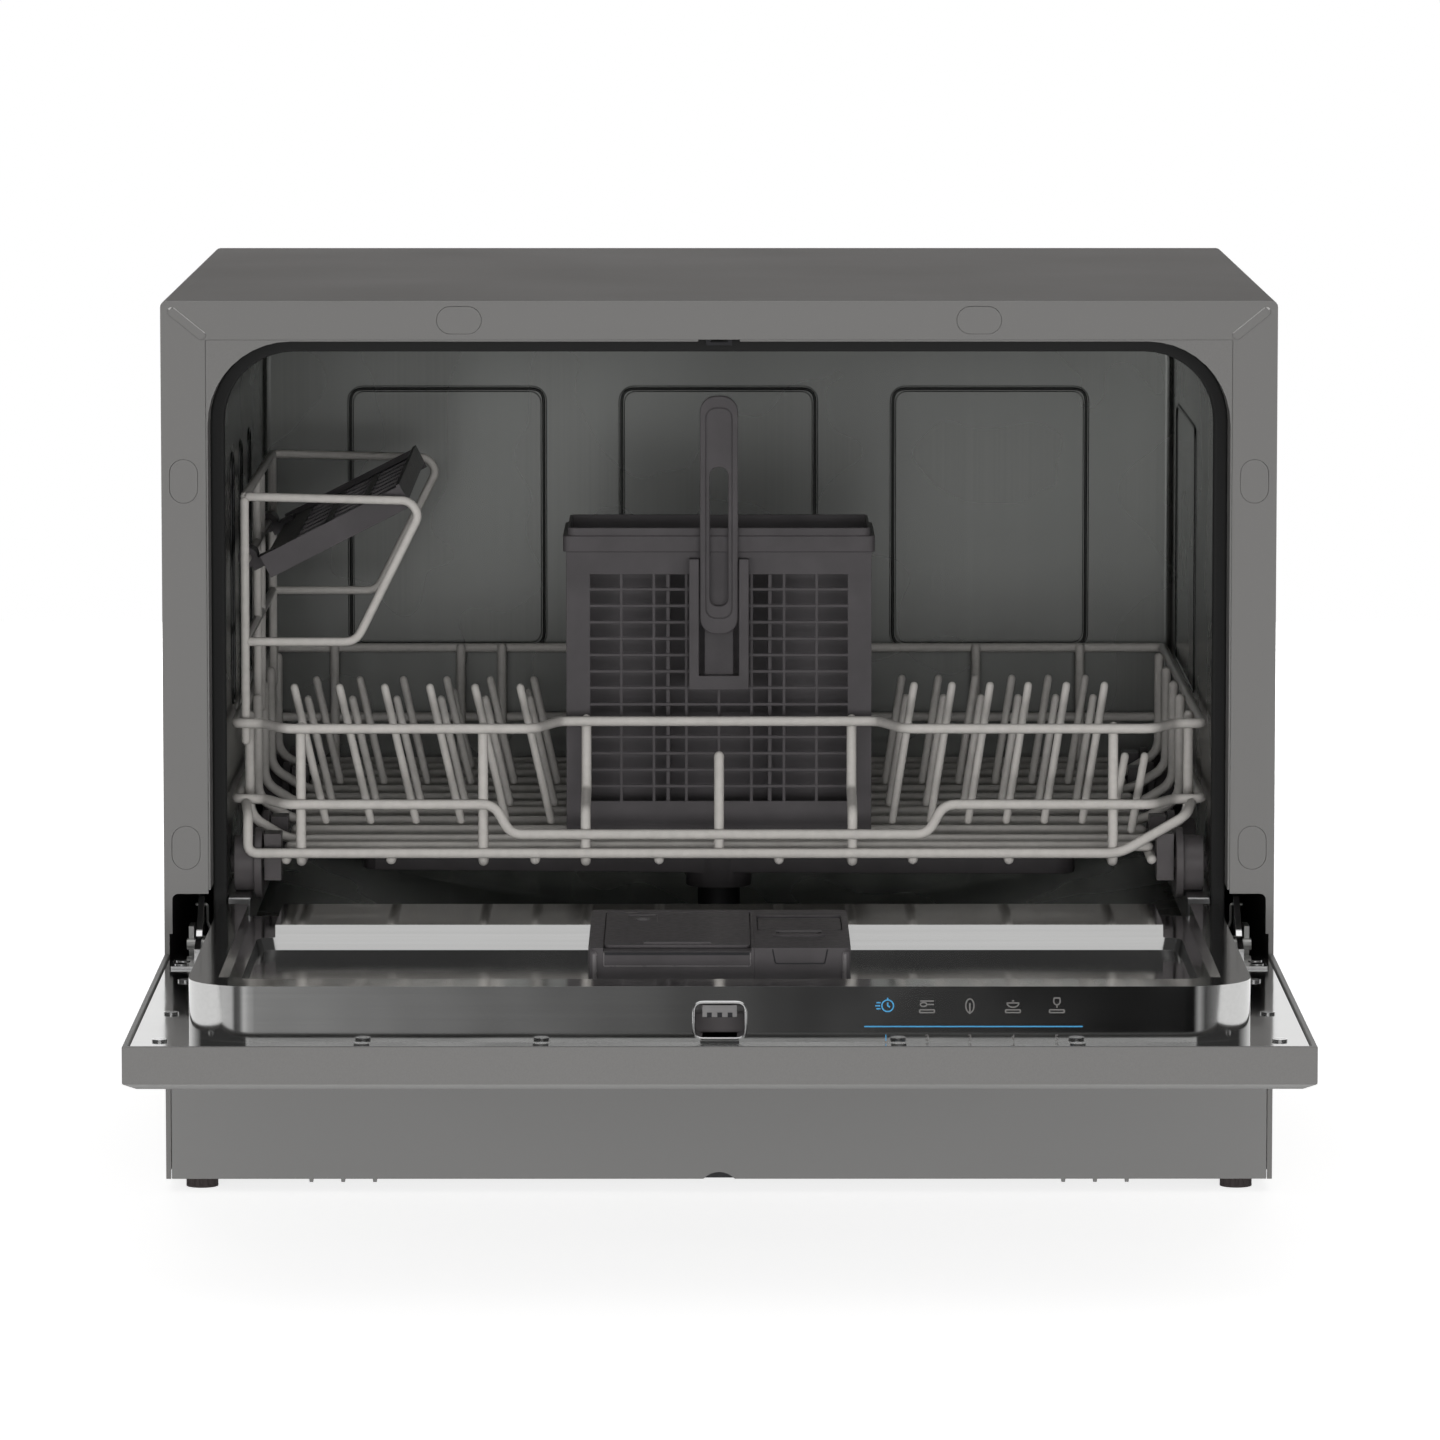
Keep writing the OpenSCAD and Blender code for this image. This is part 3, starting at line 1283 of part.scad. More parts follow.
// Moulded walls, floor and dividers that clip together under one rim
module cutlery_basket() {
    half = cutlery_w / 2;
    t = 2;
    y0 = cutlery_y;
    y1 = y0 + cutlery_d;
    z0 = cutlery_z;
    wall = cutlery_h - cutlery_rim - fit;
    mid = (y0 + y1) / 2;
    inside = half - t - fit;
    color([0.28, 0.27, 0.28]) place() {
        // front wall, with the panel and slots that guide the handle
        deepen(y0, y0 + t) translate([-half, z0]) difference() {
            union() {
                barred_wall(cutlery_w, wall, 10.6, 8);
                translate([half - 15, guide_low]) square([30, wall - guide_low]);
            }
            for (s = [-1, 1]) translate([half + s * 9.5 - 2.2, guide_low + 7])
                square([4.4, wall - guide_low - 12]);
        }
        deepen(y0 - 9, y0 - fit) difference() {
            translate([-15, z0 + guide_low]) square([30, 140 - guide_low]);
            translate([-10.1, z0 + guide_low + 7]) square([20.2, 140 - guide_low]);
        }
        // back wall, side walls and floor
        deepen(y1 - t, y1) translate([-half, z0]) barred_wall(cutlery_w, wall, 10.6, 8);
        for (x = [-half, half - t]) widen(x, x + t)
            translate([y0 + t + fit, z0]) barred_wall(cutlery_d - 2 * t - 2 * fit, wall, 6, 4);
        raise(z0, z0 + 1.8) translate([-inside, y0 + t + fit]) difference() {
            square([2 * inside, cutlery_d - 2 * t - 2 * fit]);
            cells(2 * inside, cutlery_d - 2 * t - 2 * fit, 12, 6, 2.4);
        }
        // dividers
        block(-inside, inside, mid - 1, mid + 1, z0 + 1.8 + fit, z0 + wall);
        for (x = [-half / 3, half / 3]) {
            block(x - 1, x + 1, y0 + t + fit, mid - 1 - fit, z0 + 1.8 + fit, z0 + wall);
            block(x - 1, x + 1, mid + 1 + fit, y1 - t - fit, z0 + 1.8 + fit, z0 + wall);
        }
        // stepped rim in four lengths
        for (side = [[y0 - 9, y0 + t], [y1 - t, y1 + 9]]) rim_length(-half - 9, half + 9, side[0], side[1]);
        for (side = [[-half - 9, t - half], [half - t, half + 9]])
            rim_length(side[0], side[1], y0 + t + fit, y1 - t - fit);
    }
}

// The part of the cutlery basket's rim between two sides and two ends
module rim_length(x0, x1, ya, yb) {
    half = cutlery_w / 2;
    y0 = cutlery_y;
    y1 = y0 + cutlery_d;
    z1 = cutlery_z + cutlery_h;
    intersection() {
        union() {
            raise(z1 - cutlery_rim, z1 - 4) polygon(rounded(-half - 1.6, y0 - 1.6, half + 1.6, y1 + 1.6, 4));
            raise(z1 - 4, z1) polygon(rounded(0.8 - half, y0, half - 0.8, y1, 4));
        }
        block(x0, x1, ya, yb, z1 - cutlery_rim - 1, z1 + 1);
    }
}

module cutlery_handle() {
    y = cutlery_y - 7.4;
    z0 = cutlery_z + guide_low + 28;
    z1 = cutlery_z + cutlery_h + 67;
    color([0.33, 0.32, 0.33]) place() difference() {
        deepen(y, y + 5) polygon(rounded(-9.6, z0, 9.6, z1, 8));
        deepen(y - 1, y + 6) polygon(rounded(-4.6, z0 + 14, 4.6, z1 - 36, 4));
        deepen(y - 1, y + 1.2) polygon(rounded(-6.6, z0 + 8, 6.6, z1 - 6, 5));
    }
}

outer_casing();
front_frame();
frame_plugs();
back_panel();
casing_screws();
plinth();
base_tray();
feet();
tub();
tub_floor();
tub_rails();
door_gasket();
latch_strike();
sump();
filter_plate();
circulation_pump();
drain_pump();
water_heater();
water_softener();
float_switch();
inlet_valve();
drain_connector();
power_inlet();
air_break();
hinge_brackets();
hinge_pins();
door_springs();
salt_cap();
filter_cup();
spray_arm();
float_cap();
door_panel();
door_liner();
control_fascia();
display_window();
control_board();
latch_housing();
latch_bezel();
dispenser_body();
hinge_arms();
door_screws();
detergent_lid();
rinse_flap();
latch_hook();
button_power();
button_program();
button_start();
basket_frame();
basket_floor();
left_pins();
right_pins();
glass_rack();
wheel_clips();
front_wheels();
second_wheels();
third_wheels();
rear_wheels();
cup_shelf();
cutlery_basket();
cutlery_handle();
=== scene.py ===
"""Countertop dishwasher with its door open: fine shapes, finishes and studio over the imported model.

Lengths in the classes are millimetres in the drawing frame, where X runs across the front,
Y = 0 is the cabinet's front face and Z = 0 the worktop; at() turns them into metres in the
part's own frame.
"""

from __future__ import annotations

import json
import logging
import math
from abc import ABC, abstractmethod
from collections.abc import Iterable, Iterator, Sequence
from contextlib import contextmanager
from dataclasses import dataclass
from enum import Enum

import bmesh
import bpy
from mathutils import Euler, Matrix, Vector


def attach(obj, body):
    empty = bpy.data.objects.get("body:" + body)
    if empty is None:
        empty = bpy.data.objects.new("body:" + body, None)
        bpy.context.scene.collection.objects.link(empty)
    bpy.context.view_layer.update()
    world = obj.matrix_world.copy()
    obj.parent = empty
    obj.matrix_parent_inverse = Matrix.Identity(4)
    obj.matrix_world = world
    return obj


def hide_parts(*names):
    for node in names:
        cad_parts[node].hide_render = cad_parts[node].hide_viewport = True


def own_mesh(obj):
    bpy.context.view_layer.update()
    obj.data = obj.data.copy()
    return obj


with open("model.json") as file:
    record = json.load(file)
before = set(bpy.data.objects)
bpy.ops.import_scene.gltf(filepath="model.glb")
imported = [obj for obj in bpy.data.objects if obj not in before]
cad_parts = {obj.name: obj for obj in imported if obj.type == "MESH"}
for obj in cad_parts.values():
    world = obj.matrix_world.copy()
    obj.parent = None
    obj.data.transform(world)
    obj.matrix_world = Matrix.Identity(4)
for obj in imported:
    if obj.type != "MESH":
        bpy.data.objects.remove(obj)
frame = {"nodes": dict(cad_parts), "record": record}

LOG = logging.getLogger("dishwasher")
Point = tuple[float, float, float]
Colour = tuple[float, float, float]
Span = tuple[float, float]
Row = tuple[float, ...]
Piece = bpy.types.Object
Mesh = bpy.types.Mesh
Socket = bpy.types.NodeSocket

MM = 0.001
ORIGIN_Y = -80.0
MERGE_DISTANCE = 2e-6
NOISE_SPAN: Span = (0.3, 0.7)


def at(x: float, y: float, z: float) -> Vector:
    """Turn a point of the drawing frame, in millimetres, into metres in the part's frame."""
    return Vector((x * MM, (y + ORIGIN_Y) * MM, z * MM))


# ---------------------------------------------------------------- finishes


class Grain(Enum):
    """Direction in which a metal sheet was brushed, as the noise's stretch along X, Y and Z."""

    ACROSS = (3.0, 700.0, 700.0)
    UPRIGHT = (700.0, 700.0, 3.0)
    INWARDS = (700.0, 3.0, 700.0)


class NodeDesk:
    """Lays out the nodes of one material or world."""

    def __init__(self, owner: bpy.types.Material | bpy.types.World) -> None:
        """Start on what owns the nodes."""
        owner.use_nodes = True
        self.tree = owner.node_tree

    def node(self, kind: str, **values: object) -> bpy.types.Node:
        """Add a node.

        Args:
            kind: Blender's node type.
            values: Input names, with underscores for spaces, and their values.

        Returns:
            The new node.
        """
        made = self.tree.nodes.new(kind)
        for key, value in values.items():
            made.inputs[key.replace("_", " ")].default_value = value
        return made

    def link(self, source: Socket, target: Socket) -> None:
        """Join two sockets."""
        self.tree.links.new(source, target)

    def largest(self, first: Socket, *others: Socket) -> Socket:
        """Return the largest of some values."""
        for other in others:
            step = self.node("ShaderNodeMath")
            step.operation = "MAXIMUM"
            self.link(first, step.inputs[0])
            self.link(other, step.inputs[1])
            first = step.outputs[0]
        return first

    def spread(self, source: Socket, start: Span, end: Span = (0.0, 1.0)) -> Socket:
        """Map a value from one span to another, and hold it there."""
        step = self.node("ShaderNodeMapRange", From_Min=start[0], From_Max=start[1], To_Min=end[0],
                         To_Max=end[1])
        self.link(source, step.inputs["Value"])
        return step.outputs["Result"]

    def ramp(self, source: Socket, stops: Sequence[tuple[float, Colour]]) -> Socket:
        """Run through colours, each with its place, along a value."""
        made = self.node("ShaderNodeValToRGB")
        elements = made.color_ramp.elements
        elements[0].position, elements[-1].position = stops[0][0], stops[-1][0]
        for place, _ in stops[1:-1]:
            elements.new(place)
        for element, (_, colour) in zip(elements, stops):
            element.color = (*colour, 1.0)
        self.link(source, made.inputs["Fac"])
        return made.outputs["Color"]


class ShaderDesk(NodeDesk):
    """Lays out the nodes of one procedural material."""

    def __init__(self, name: str) -> None:
        """Start a named material with a Principled shader."""
        self.material = bpy.data.materials.new(name)
        super().__init__(self.material)
        self.shader = self.tree.nodes["Principled BSDF"]

    def noise(self, scale: float, detail: float = 3.0,
              stretch: Sequence[float] = (1.0, 1.0, 1.0)) -> Socket:
        """Add a noise on the piece's own coordinates.

        Args:
            scale: The noise's scale, in waves a metre.
            detail: The number of finer layers.
            stretch: Factors along X, Y and Z.

        Returns:
            The noise's value.
        """
        mapping = self.node("ShaderNodeMapping", Scale=tuple(stretch))
        texture = self.node("ShaderNodeTexNoise", Scale=scale, Detail=detail)
        self.link(self.node("ShaderNodeTexCoord").outputs["Object"], mapping.inputs["Vector"])
        self.link(mapping.outputs["Vector"], texture.inputs["Vector"])
        return texture.outputs["Fac"]

    def mottle(self, source: Socket, colour: Colour, shares: Span) -> None:
        """Run the base colour along a value, from a darker to a lighter share of itself."""
        stops = [(place, tuple(min(1.0, c * share) for c in colour))
                 for place, share in zip(NOISE_SPAN, shares)]
        self.link(self.ramp(source, stops), self.shader.inputs["Base Color"])

    def gloss(self, source: Socket, span: Span) -> None:
        """Run the roughness over a span along a value."""
        self.link(self.spread(source, NOISE_SPAN, span), self.shader.inputs["Roughness"])

    def bump(self, source: Socket, strength: float, depth: float) -> None:
        """Roughen the surface along a value, over any earlier relief.

        Args:
            source: The height.
            strength: Share of the effect.
            depth: Height of the relief, in metres.
        """
        relief = self.node("ShaderNodeBump", Strength=strength, Distance=depth)
        for earlier in self.shader.inputs["Normal"].links:
            self.link(earlier.from_socket, relief.inputs["Normal"])
        self.link(source, relief.inputs["Height"])
        self.link(relief.outputs["Normal"], self.shader.inputs["Normal"])

    def set(self, **values: object) -> None:
        """Set constants on the shader's own sockets."""
        for key, value in values.items():
            self.shader.inputs[key.replace("_", " ")].default_value = value


@dataclass(frozen=True)
class Finish(ABC):
    """A surface of one colour with its own texture; subclasses say which."""

    name: str
    colour: Colour
    roughness: float

    def build(self) -> bpy.types.Material:
        """Return the material, made once for each finish."""
        known = bpy.data.materials.get(self.name)
        if known:
            return known
        desk = ShaderDesk(self.name)
        self.dress(desk)
        return desk.material

    @abstractmethod
    def dress(self, desk: ShaderDesk) -> None:
        """Lay the nodes out."""

    def skin(self, desk: ShaderDesk, cloud: Socket, shares: Span, smear: Socket, strays: Span,
             **constants: float) -> None:
        """Vary the colour and the roughness.

        Args:
            desk: Where the nodes are laid out.
            cloud: The value that the colour follows.
            shares: The darkest and the lightest share of the colour.
            smear: The value that the roughness follows.
            strays: How far the roughness strays down and up.
            constants: The shader's other sockets.
        """
        desk.mottle(cloud, self.colour, shares)
        desk.gloss(smear, (self.roughness - strays[0], self.roughness + strays[1]))
        desk.set(**constants)


@dataclass(frozen=True)
class SatinPaint(Finish):
    """Baked satin paint with a faint metallic fleck and orange peel."""

    fleck: float = 0.05
    shine: float = 0.3

    def dress(self, desk: ShaderDesk) -> None:
        """Fleck in the colour, orange peel in the relief."""
        self.skin(desk, desk.noise(2600.0, 1.0), (1.0 - self.fleck, 1.0 + self.fleck),
                  desk.noise(9.0), (0.03, 0.03), Specular_IOR_Level=self.shine)
        desk.bump(desk.noise(620.0, 2.0), 0.05, 0.0002)


@dataclass(frozen=True)
class BrushedSteel(Finish):
    """Stainless sheet brushed in one direction."""

    grain: Grain = Grain.ACROSS
    relief: float = 0.05
    wave: float = 0.0

    def dress(self, desk: ShaderDesk) -> None:
        """Long fine lines in colour and relief, over the sheet's own waves."""
        lines = desk.noise(1.0, 4.0, self.grain.value)
        self.skin(desk, lines, (0.97, 1.03), desk.noise(14.0, 1.0), (0.02, 0.02), Metallic=1.0)
        desk.bump(lines, self.relief, 0.00003)
        if self.wave:
            desk.bump(desk.noise(16.0, 1.0), self.wave, 0.002)


@dataclass(frozen=True)
class BrightMetal(Finish):
    """Polished or plated metal with slight smears."""

    def dress(self, desk: ShaderDesk) -> None:
        """Smears in the colour and the gloss."""
        smear = desk.noise(120.0, 4.0)
        self.skin(desk, smear, (0.93, 1.04), smear, (0.06, 0.08), Metallic=1.0)


@dataclass(frozen=True)
class CoatedWire(Finish):
    """Nylon powder melted onto wire: smooth, faintly uneven."""

    def dress(self, desk: ShaderDesk) -> None:
        """Uneven coat with a soft shine."""
        coat = desk.noise(260.0)
        self.skin(desk, coat, (0.93, 1.05), coat, (0.05, 0.07), Specular_IOR_Level=0.5)
        desk.bump(desk.noise(900.0, 2.0), 0.12, 0.0001)


@dataclass(frozen=True)
class MouldedPlastic(Finish):
    """Injection-moulded plastic with a fine spark-eroded grain."""

    def dress(self, desk: ShaderDesk) -> None:
        """Fine grain with a slight cloud in the colour."""
        self.skin(desk, desk.noise(60.0, 4.0), (0.9, 1.1), desk.noise(300.0), (0.05, 0.05),
                  Specular_IOR_Level=0.42)
        desk.bump(desk.noise(3200.0, 1.0), 0.14, 0.00012)


@dataclass(frozen=True)
class SoftRubber(Finish):
    """Extruded rubber, dull with a chalky bloom."""

    def dress(self, desk: ShaderDesk) -> None:
        """Bloom in the colour and a matt relief."""
        self.skin(desk, desk.noise(90.0, 5.0), (0.8, 1.3), desk.noise(400.0), (0.06, 0.06),
                  Specular_IOR_Level=0.3)
        desk.bump(desk.noise(1500.0, 2.0), 0.2, 0.0001)


@dataclass(frozen=True)
class SmokedGlass(Finish):
    """Dark window with a polished face."""

    def dress(self, desk: ShaderDesk) -> None:
        """Faint wipe marks in a mirror-like gloss."""
        wipe = desk.noise(35.0)
        self.skin(desk, wipe, (0.85, 1.2), wipe, (0.0, 0.05), Coat_Weight=1.0, Coat_Roughness=0.03)


@dataclass(frozen=True)
class PrintInk(Finish):
    """Screen-printed ink, a little uneven."""

    def dress(self, desk: ShaderDesk) -> None:
        """Uneven cover in the colour."""
        cover = desk.noise(1400.0, 2.0)
        self.skin(desk, cover, (0.82, 1.08), cover, (0.05, 0.05))


CASE_PAINT = SatinPaint("satin_case_paint", (0.19, 0.182, 0.176), 0.55, 0.05, 0.02)
# Lighter copy of the front paint for rounded edges: a painted highlight.
EDGE_HIGHLIGHT_PAINT = SatinPaint("satin_paint_edge_highlight", (0.26, 0.255, 0.248), 0.35, 0.04, 0.5)
# Light paint for the ribs' upward faces: a painted highlight.
RIB_HIGHLIGHT_PAINT = SatinPaint("satin_paint_rib_highlight", (0.55, 0.545, 0.535), 0.3, 0.04, 0.5)
# Front paint made lighter for the plinth: painted light, as if more light reached it under the open
# door.
PLINTH_LIT_PAINT = SatinPaint("satin_plinth_painted_light", (0.222, 0.22, 0.217), 0.42)
FRONT_PAINT = SatinPaint("satin_front_paint", (0.192, 0.189, 0.185), 0.42)
TUB_STEEL = BrushedSteel("tub_stainless", (0.46, 0.47, 0.455), 0.27, Grain.UPRIGHT, 0.015)
# Dark steel for the lines along the pressed beads: painted shade.
BEAD_SHADE_STEEL = BrushedSteel("pressed_bead_painted_shade", (0.12, 0.122, 0.12), 0.25, Grain.UPRIGHT)
LINER_STEEL = BrushedSteel("liner_stainless", (0.52, 0.52, 0.515), 0.1, Grain.ACROSS, 0.02, 0.12)
SIDE_STEEL = BrushedSteel("rail_stainless", (0.5, 0.5, 0.5), 0.3, Grain.INWARDS)
ZINC = BrightMetal("zinc_plate", (0.46, 0.46, 0.45), 0.38)
CHROME = BrightMetal("bright_chrome", (0.78, 0.78, 0.78), 0.12)
WIRE = CoatedWire("nylon_coated_wire", (0.5, 0.48, 0.455), 0.36)
DARK_PLASTIC = MouldedPlastic("dark_moulding", (0.068, 0.063, 0.066), 0.42)
WHEEL_PLASTIC = MouldedPlastic("wheel_moulding", (0.085, 0.078, 0.08), 0.38)
LATCH_PLASTIC = MouldedPlastic("latch_moulding", (0.2, 0.195, 0.195), 0.4)
# Lighter copy of the dark moulding for the dispenser's columns, step outline and port ring: a painted
# highlight.
TRIM_HIGHLIGHT_PLASTIC = MouldedPlastic("trim_moulding_painted_highlight", (0.15, 0.142, 0.145), 0.3)
# Black moulding, also used for thin black plates and lines that are painted shade in notches, slots and
# gaps.
BLACK_PLASTIC_AND_SHADE = MouldedPlastic("black_moulding_and_painted_shade", (0.02, 0.02, 0.022), 0.45)
WHITE_PLASTIC = MouldedPlastic("white_moulding", (0.62, 0.62, 0.59), 0.5)
FOOT_RUBBER = SoftRubber("foot_rubber", (0.055, 0.05, 0.05), 0.62)
SEAL_RUBBER = SoftRubber("seal_rubber", (0.02, 0.02, 0.019), 0.6)
WINDOW = SmokedGlass("smoked_window", (0.006, 0.007, 0.01), 0.05)
BUTTON_METAL = BrushedSteel("spun_button", (0.4, 0.4, 0.41), 0.3, Grain.ACROSS)
SOLDER_MASK = SatinPaint("solder_mask", (0.02, 0.1, 0.04), 0.3, 0.1)
BLUE_INK = PrintInk("blue_ink", (0.07, 0.33, 0.6), 0.5)
GREY_INK = PrintInk("grey_ink", (0.17, 0.165, 0.16), 0.5)

SLOT_FINISHES: dict[str, Finish] = {
    "grey_paint": CASE_PAINT, "front_paint": FRONT_PAINT, "brushed_tub": TUB_STEEL,
    "bright_steel": SIDE_STEEL, "zinc_plate": ZINC, "chrome": CHROME, "coated_wire": WIRE,
    "dark_plastic": DARK_PLASTIC, "wheel_plastic": WHEEL_PLASTIC, "foot_rubber": FOOT_RUBBER,
    "seal_rubber": SEAL_RUBBER, "black_plastic": BLACK_PLASTIC_AND_SHADE, "black_glass": WINDOW,
    "button_metal": BUTTON_METAL, "white_plastic": WHITE_PLASTIC, "circuit_green": SOLDER_MASK,
}


# ---------------------------------------------------------------- shaping


RECORD = frame["record"]
SLOTS: dict[str, str] = {part["node"]: part["material_slot"] for part in RECORD["subparts"]}
BODIES: dict[str, str] = {node: body for body, nodes in RECORD["behaviour"]["bodies"].items()
                          for node in nodes}


def settle(obj: Piece, finish: Finish, node: str, replaces: Sequence[str] = ()) -> Piece:
    """Give a finished piece its material and body.

    Args:
        obj: The piece.
        finish: Its finish.
        node: The CAD node it belongs to, for the body.
        replaces: CAD nodes that it stands for.

    Returns:
        The piece.
    """
    obj.data.materials.clear()
    obj.data.materials.append(finish.build())
    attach(obj, BODIES[node])
    if replaces:
        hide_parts(*replaces)
    LOG.info("%s: %d faces on %s", obj.name, len(obj.data.polygons), BODIES[node])
    return obj


def smooth(mesh: Mesh, sharp: float) -> None:
    """Shade a mesh smooth but for edges sharper than an angle in degrees."""
    for polygon in mesh.polygons:
        polygon.use_smooth = True
    mesh.set_sharp_from_angle(angle=math.radians(sharp))


def put(name: str, mesh: Mesh, sharp: float = 35.0) -> Piece:
    """Stand a mesh, in metres in the part's frame, in the scene as a smooth piece."""
    smooth(mesh, sharp)
    obj = bpy.data.objects.new(name, mesh)
    bpy.context.scene.collection.objects.link(obj)
    return obj


@contextmanager
def editing(mesh: Mesh) -> Iterator[bmesh.types.BMesh]:
    """Open a mesh for bmesh operators and write it back."""
    bm = bmesh.new()
    bm.from_mesh(mesh)
    yield bm
    bm.to_mesh(mesh)
    bm.free()


def simplify(bm: bmesh.types.BMesh, angle: float) -> None:
    """Merge doubles and join faces that are flat to within an angle in degrees."""
    bmesh.ops.remove_doubles(bm, verts=bm.verts, dist=MERGE_DISTANCE)
    bmesh.ops.dissolve_limit(bm, angle_limit=math.radians(angle), verts=bm.verts, edges=bm.edges)


def from_bmesh(name: str, bm: bmesh.types.BMesh, sharp: float = 35.0) -> Piece:
    """Turn a bmesh into a piece and free it."""
    bmesh.ops.remove_doubles(bm, verts=bm.verts, dist=1e-7)
    bmesh.ops.recalc_face_normals(bm, faces=bm.faces)
    mesh = bpy.data.meshes.new(name)
    bm.to_mesh(mesh)
    bm.free()
    return put(name, mesh, sharp)


def final_mesh(obj: Piece) -> Mesh:
    """Return a copy of an object's mesh with its modifiers applied."""
    graph = bpy.context.evaluated_depsgraph_get()
    return bpy.data.meshes.new_from_object(obj.evaluated_get(graph), depsgraph=graph)


def baked(curve: bpy.types.Curve) -> Mesh:
    """Turn a curve or a text into a mesh and drop it."""
    holder = bpy.data.objects.new("holder", curve)
    bpy.context.scene.collection.objects.link(holder)
    mesh = final_mesh(holder)
    bpy.data.objects.remove(holder)
    bpy.data.curves.remove(curve)
    return mesh


def soften(obj: Piece, width: float, segments: int = 2, angle: float = 35.0) -> None:
    """Round a piece's sharp edges with a live bevel.

    Args:
        obj: The piece.
        width: The bevel's width in millimetres.
        segments: Its number of steps.
        angle: Edges sharper than this many degrees are rounded.
    """
    bevel = obj.modifiers.new("soft_edges", "BEVEL")
    bevel.width = width * MM
    bevel.segments = segments
    bevel.limit_method = "ANGLE"
    bevel.angle_limit = math.radians(angle)
    even = obj.modifiers.new("even_faces", "WEIGHTED_NORMAL")
    even.keep_sharp = True


def node_copy(node: str, name: str) -> Piece:
    """Copy a CAD node's mesh, merged and with its flat faces joined, as a new piece."""
    bm = bmesh.new()
    bm.from_mesh(frame["nodes"][node].data)
    simplify(bm, 0.6)
    mesh = bpy.data.meshes.new(name)
    bm.to_mesh(mesh)
    bm.free()
    for extra in ("custom_normal", "sharp_edge", "sharp_face"):
        if extra in mesh.attributes:
            mesh.attributes.remove(mesh.attributes[extra])
    return put(name, mesh, 30.0)


def softened_node(node: str, finish: Finish, width: float, segments: int = 2) -> Piece:
    """Stand a copy with rounded edges in for a CAD node.

    Args:
        node: The CAD node.
        finish: The finish.
        width: The rounding in millimetres.
        segments: Its number of steps.

    Returns:
        The new piece.
    """
    obj = node_copy(node, f"fine_{node}")
    soften(obj, width, segments)
    return settle(obj, finish, node, replaces=[node])


def soften_nodes(*rows: Sequence[str | Finish | float]) -> None:
    """Stand rounded copies in for CAD nodes, each with its finish, its rounding and its steps."""
    for row in rows:
        softened_node(*row)


@dataclass
class Run:
    """One wire: its corner points, how far each corner is rounded off, and its ends."""

    points: Sequence[Point]
    bend: float = 5.0
    closed: bool = False
    domed: bool = True


def rounded_path(run: Run, steps: int = 5) -> list[Vector]:
    """Round the corners of a wire's path with arcs.

    Args:
        run: The wire.
        steps: Points along each corner's arc.

    Returns:
        The path's points in millimetres.
    """
    corners = [Vector(p) for p in run.points]
    count = len(corners)
    path: list[Vector] = []
    for i, corner in enumerate(corners):
        if not run.closed and i in (0, count - 1):
            path.append(corner)
            continue
        before, after = corners[i - 1] - corner, corners[(i + 1) % count] - corner
        cut = min(run.bend, 0.48 * before.length, 0.48 * after.length)
        start, end = corner + before.normalized() * cut, corner + after.normalized() * cut
        for k in range(steps + 1):
            t = k / steps
            path.append(start * (1 - t) ** 2 + corner * (2 * t * (1 - t)) + end * t ** 2)
    return path


def wire_mesh(runs: Iterable[Run], radius: float, sides: int = 12) -> Mesh:
    """Sweep a round section along every run.

    Args:
        runs: The wires.
        radius: Their radius in millimetres.
        sides: Faces round the wire.

    Returns:
        The mesh, in metres in the part's frame.
    """
    curve = bpy.data.curves.new("wire_path", "CURVE")
    curve.dimensions = "3D"
    curve.bevel_depth = radius * MM
    curve.bevel_resolution = sides // 2 - 2
    curve.use_fill_caps = True
    for run in runs:
        path = rounded_path(run)
        widths = [1.0] * len(path)
        if run.domed and not run.closed:
            for end, inner in ((0, 1), (-1, -2)):
                tip, way = path[end], (path[inner] - path[end]).normalized()
                dome = [(tip + way * radius * (1 - math.sin(a)), math.cos(a))
                        for a in (math.radians(88), math.radians(60), math.radians(30), 0.0)]
                if end == 0:
                    path = [p for p, _ in dome] + path[1:]
                    widths = [w for _, w in dome] + widths[1:]
                else:
                    path = path[:-1] + [p for p, _ in reversed(dome)]
                    widths = widths[:-1] + [w for _, w in reversed(dome)]
        spline = curve.splines.new("POLY")
        spline.points.add(len(path) - 1)
        spline.use_cyclic_u = run.closed
        for point, place, width in zip(spline.points, path, widths):
            point.co = (*at(*place), 1.0)
            point.radius = width
    mesh = baked(curve)
    with editing(mesh) as bm:
        bmesh.ops.remove_doubles(bm, verts=bm.verts, dist=1e-6)
        bmesh.ops.recalc_face_normals(bm, faces=bm.faces)
    return mesh


def wire_piece(name: str, runs: Iterable[Run], radius: float, finish: Finish, node: str,
               replaces: Sequence[str] = (), sides: int = 12) -> Piece:
    """Make one piece of bent round wires and settle it on its node's body."""
    return settle(put(name, wire_mesh(runs, radius, sides), 60.0), finish, node, replaces)


def flat(x0: float, x1: float, y0: float, y1: float, z: float) -> list[Point]:
    """Return the corners of a level oblong."""
    return [(x0, y0, z), (x1, y0, z), (x1, y1, z), (x0, y1, z)]


def upright(low: Point, high: Point) -> list[Point]:
    """Return the corners of an upright oblong, from two opposite ones."""
    (x0, y0, z0), (x1, y1, z1) = low, high
    return [(x0, y0, z0), (x1, y1, z0), (x1, y1, z1), (x0, y0, z1)]


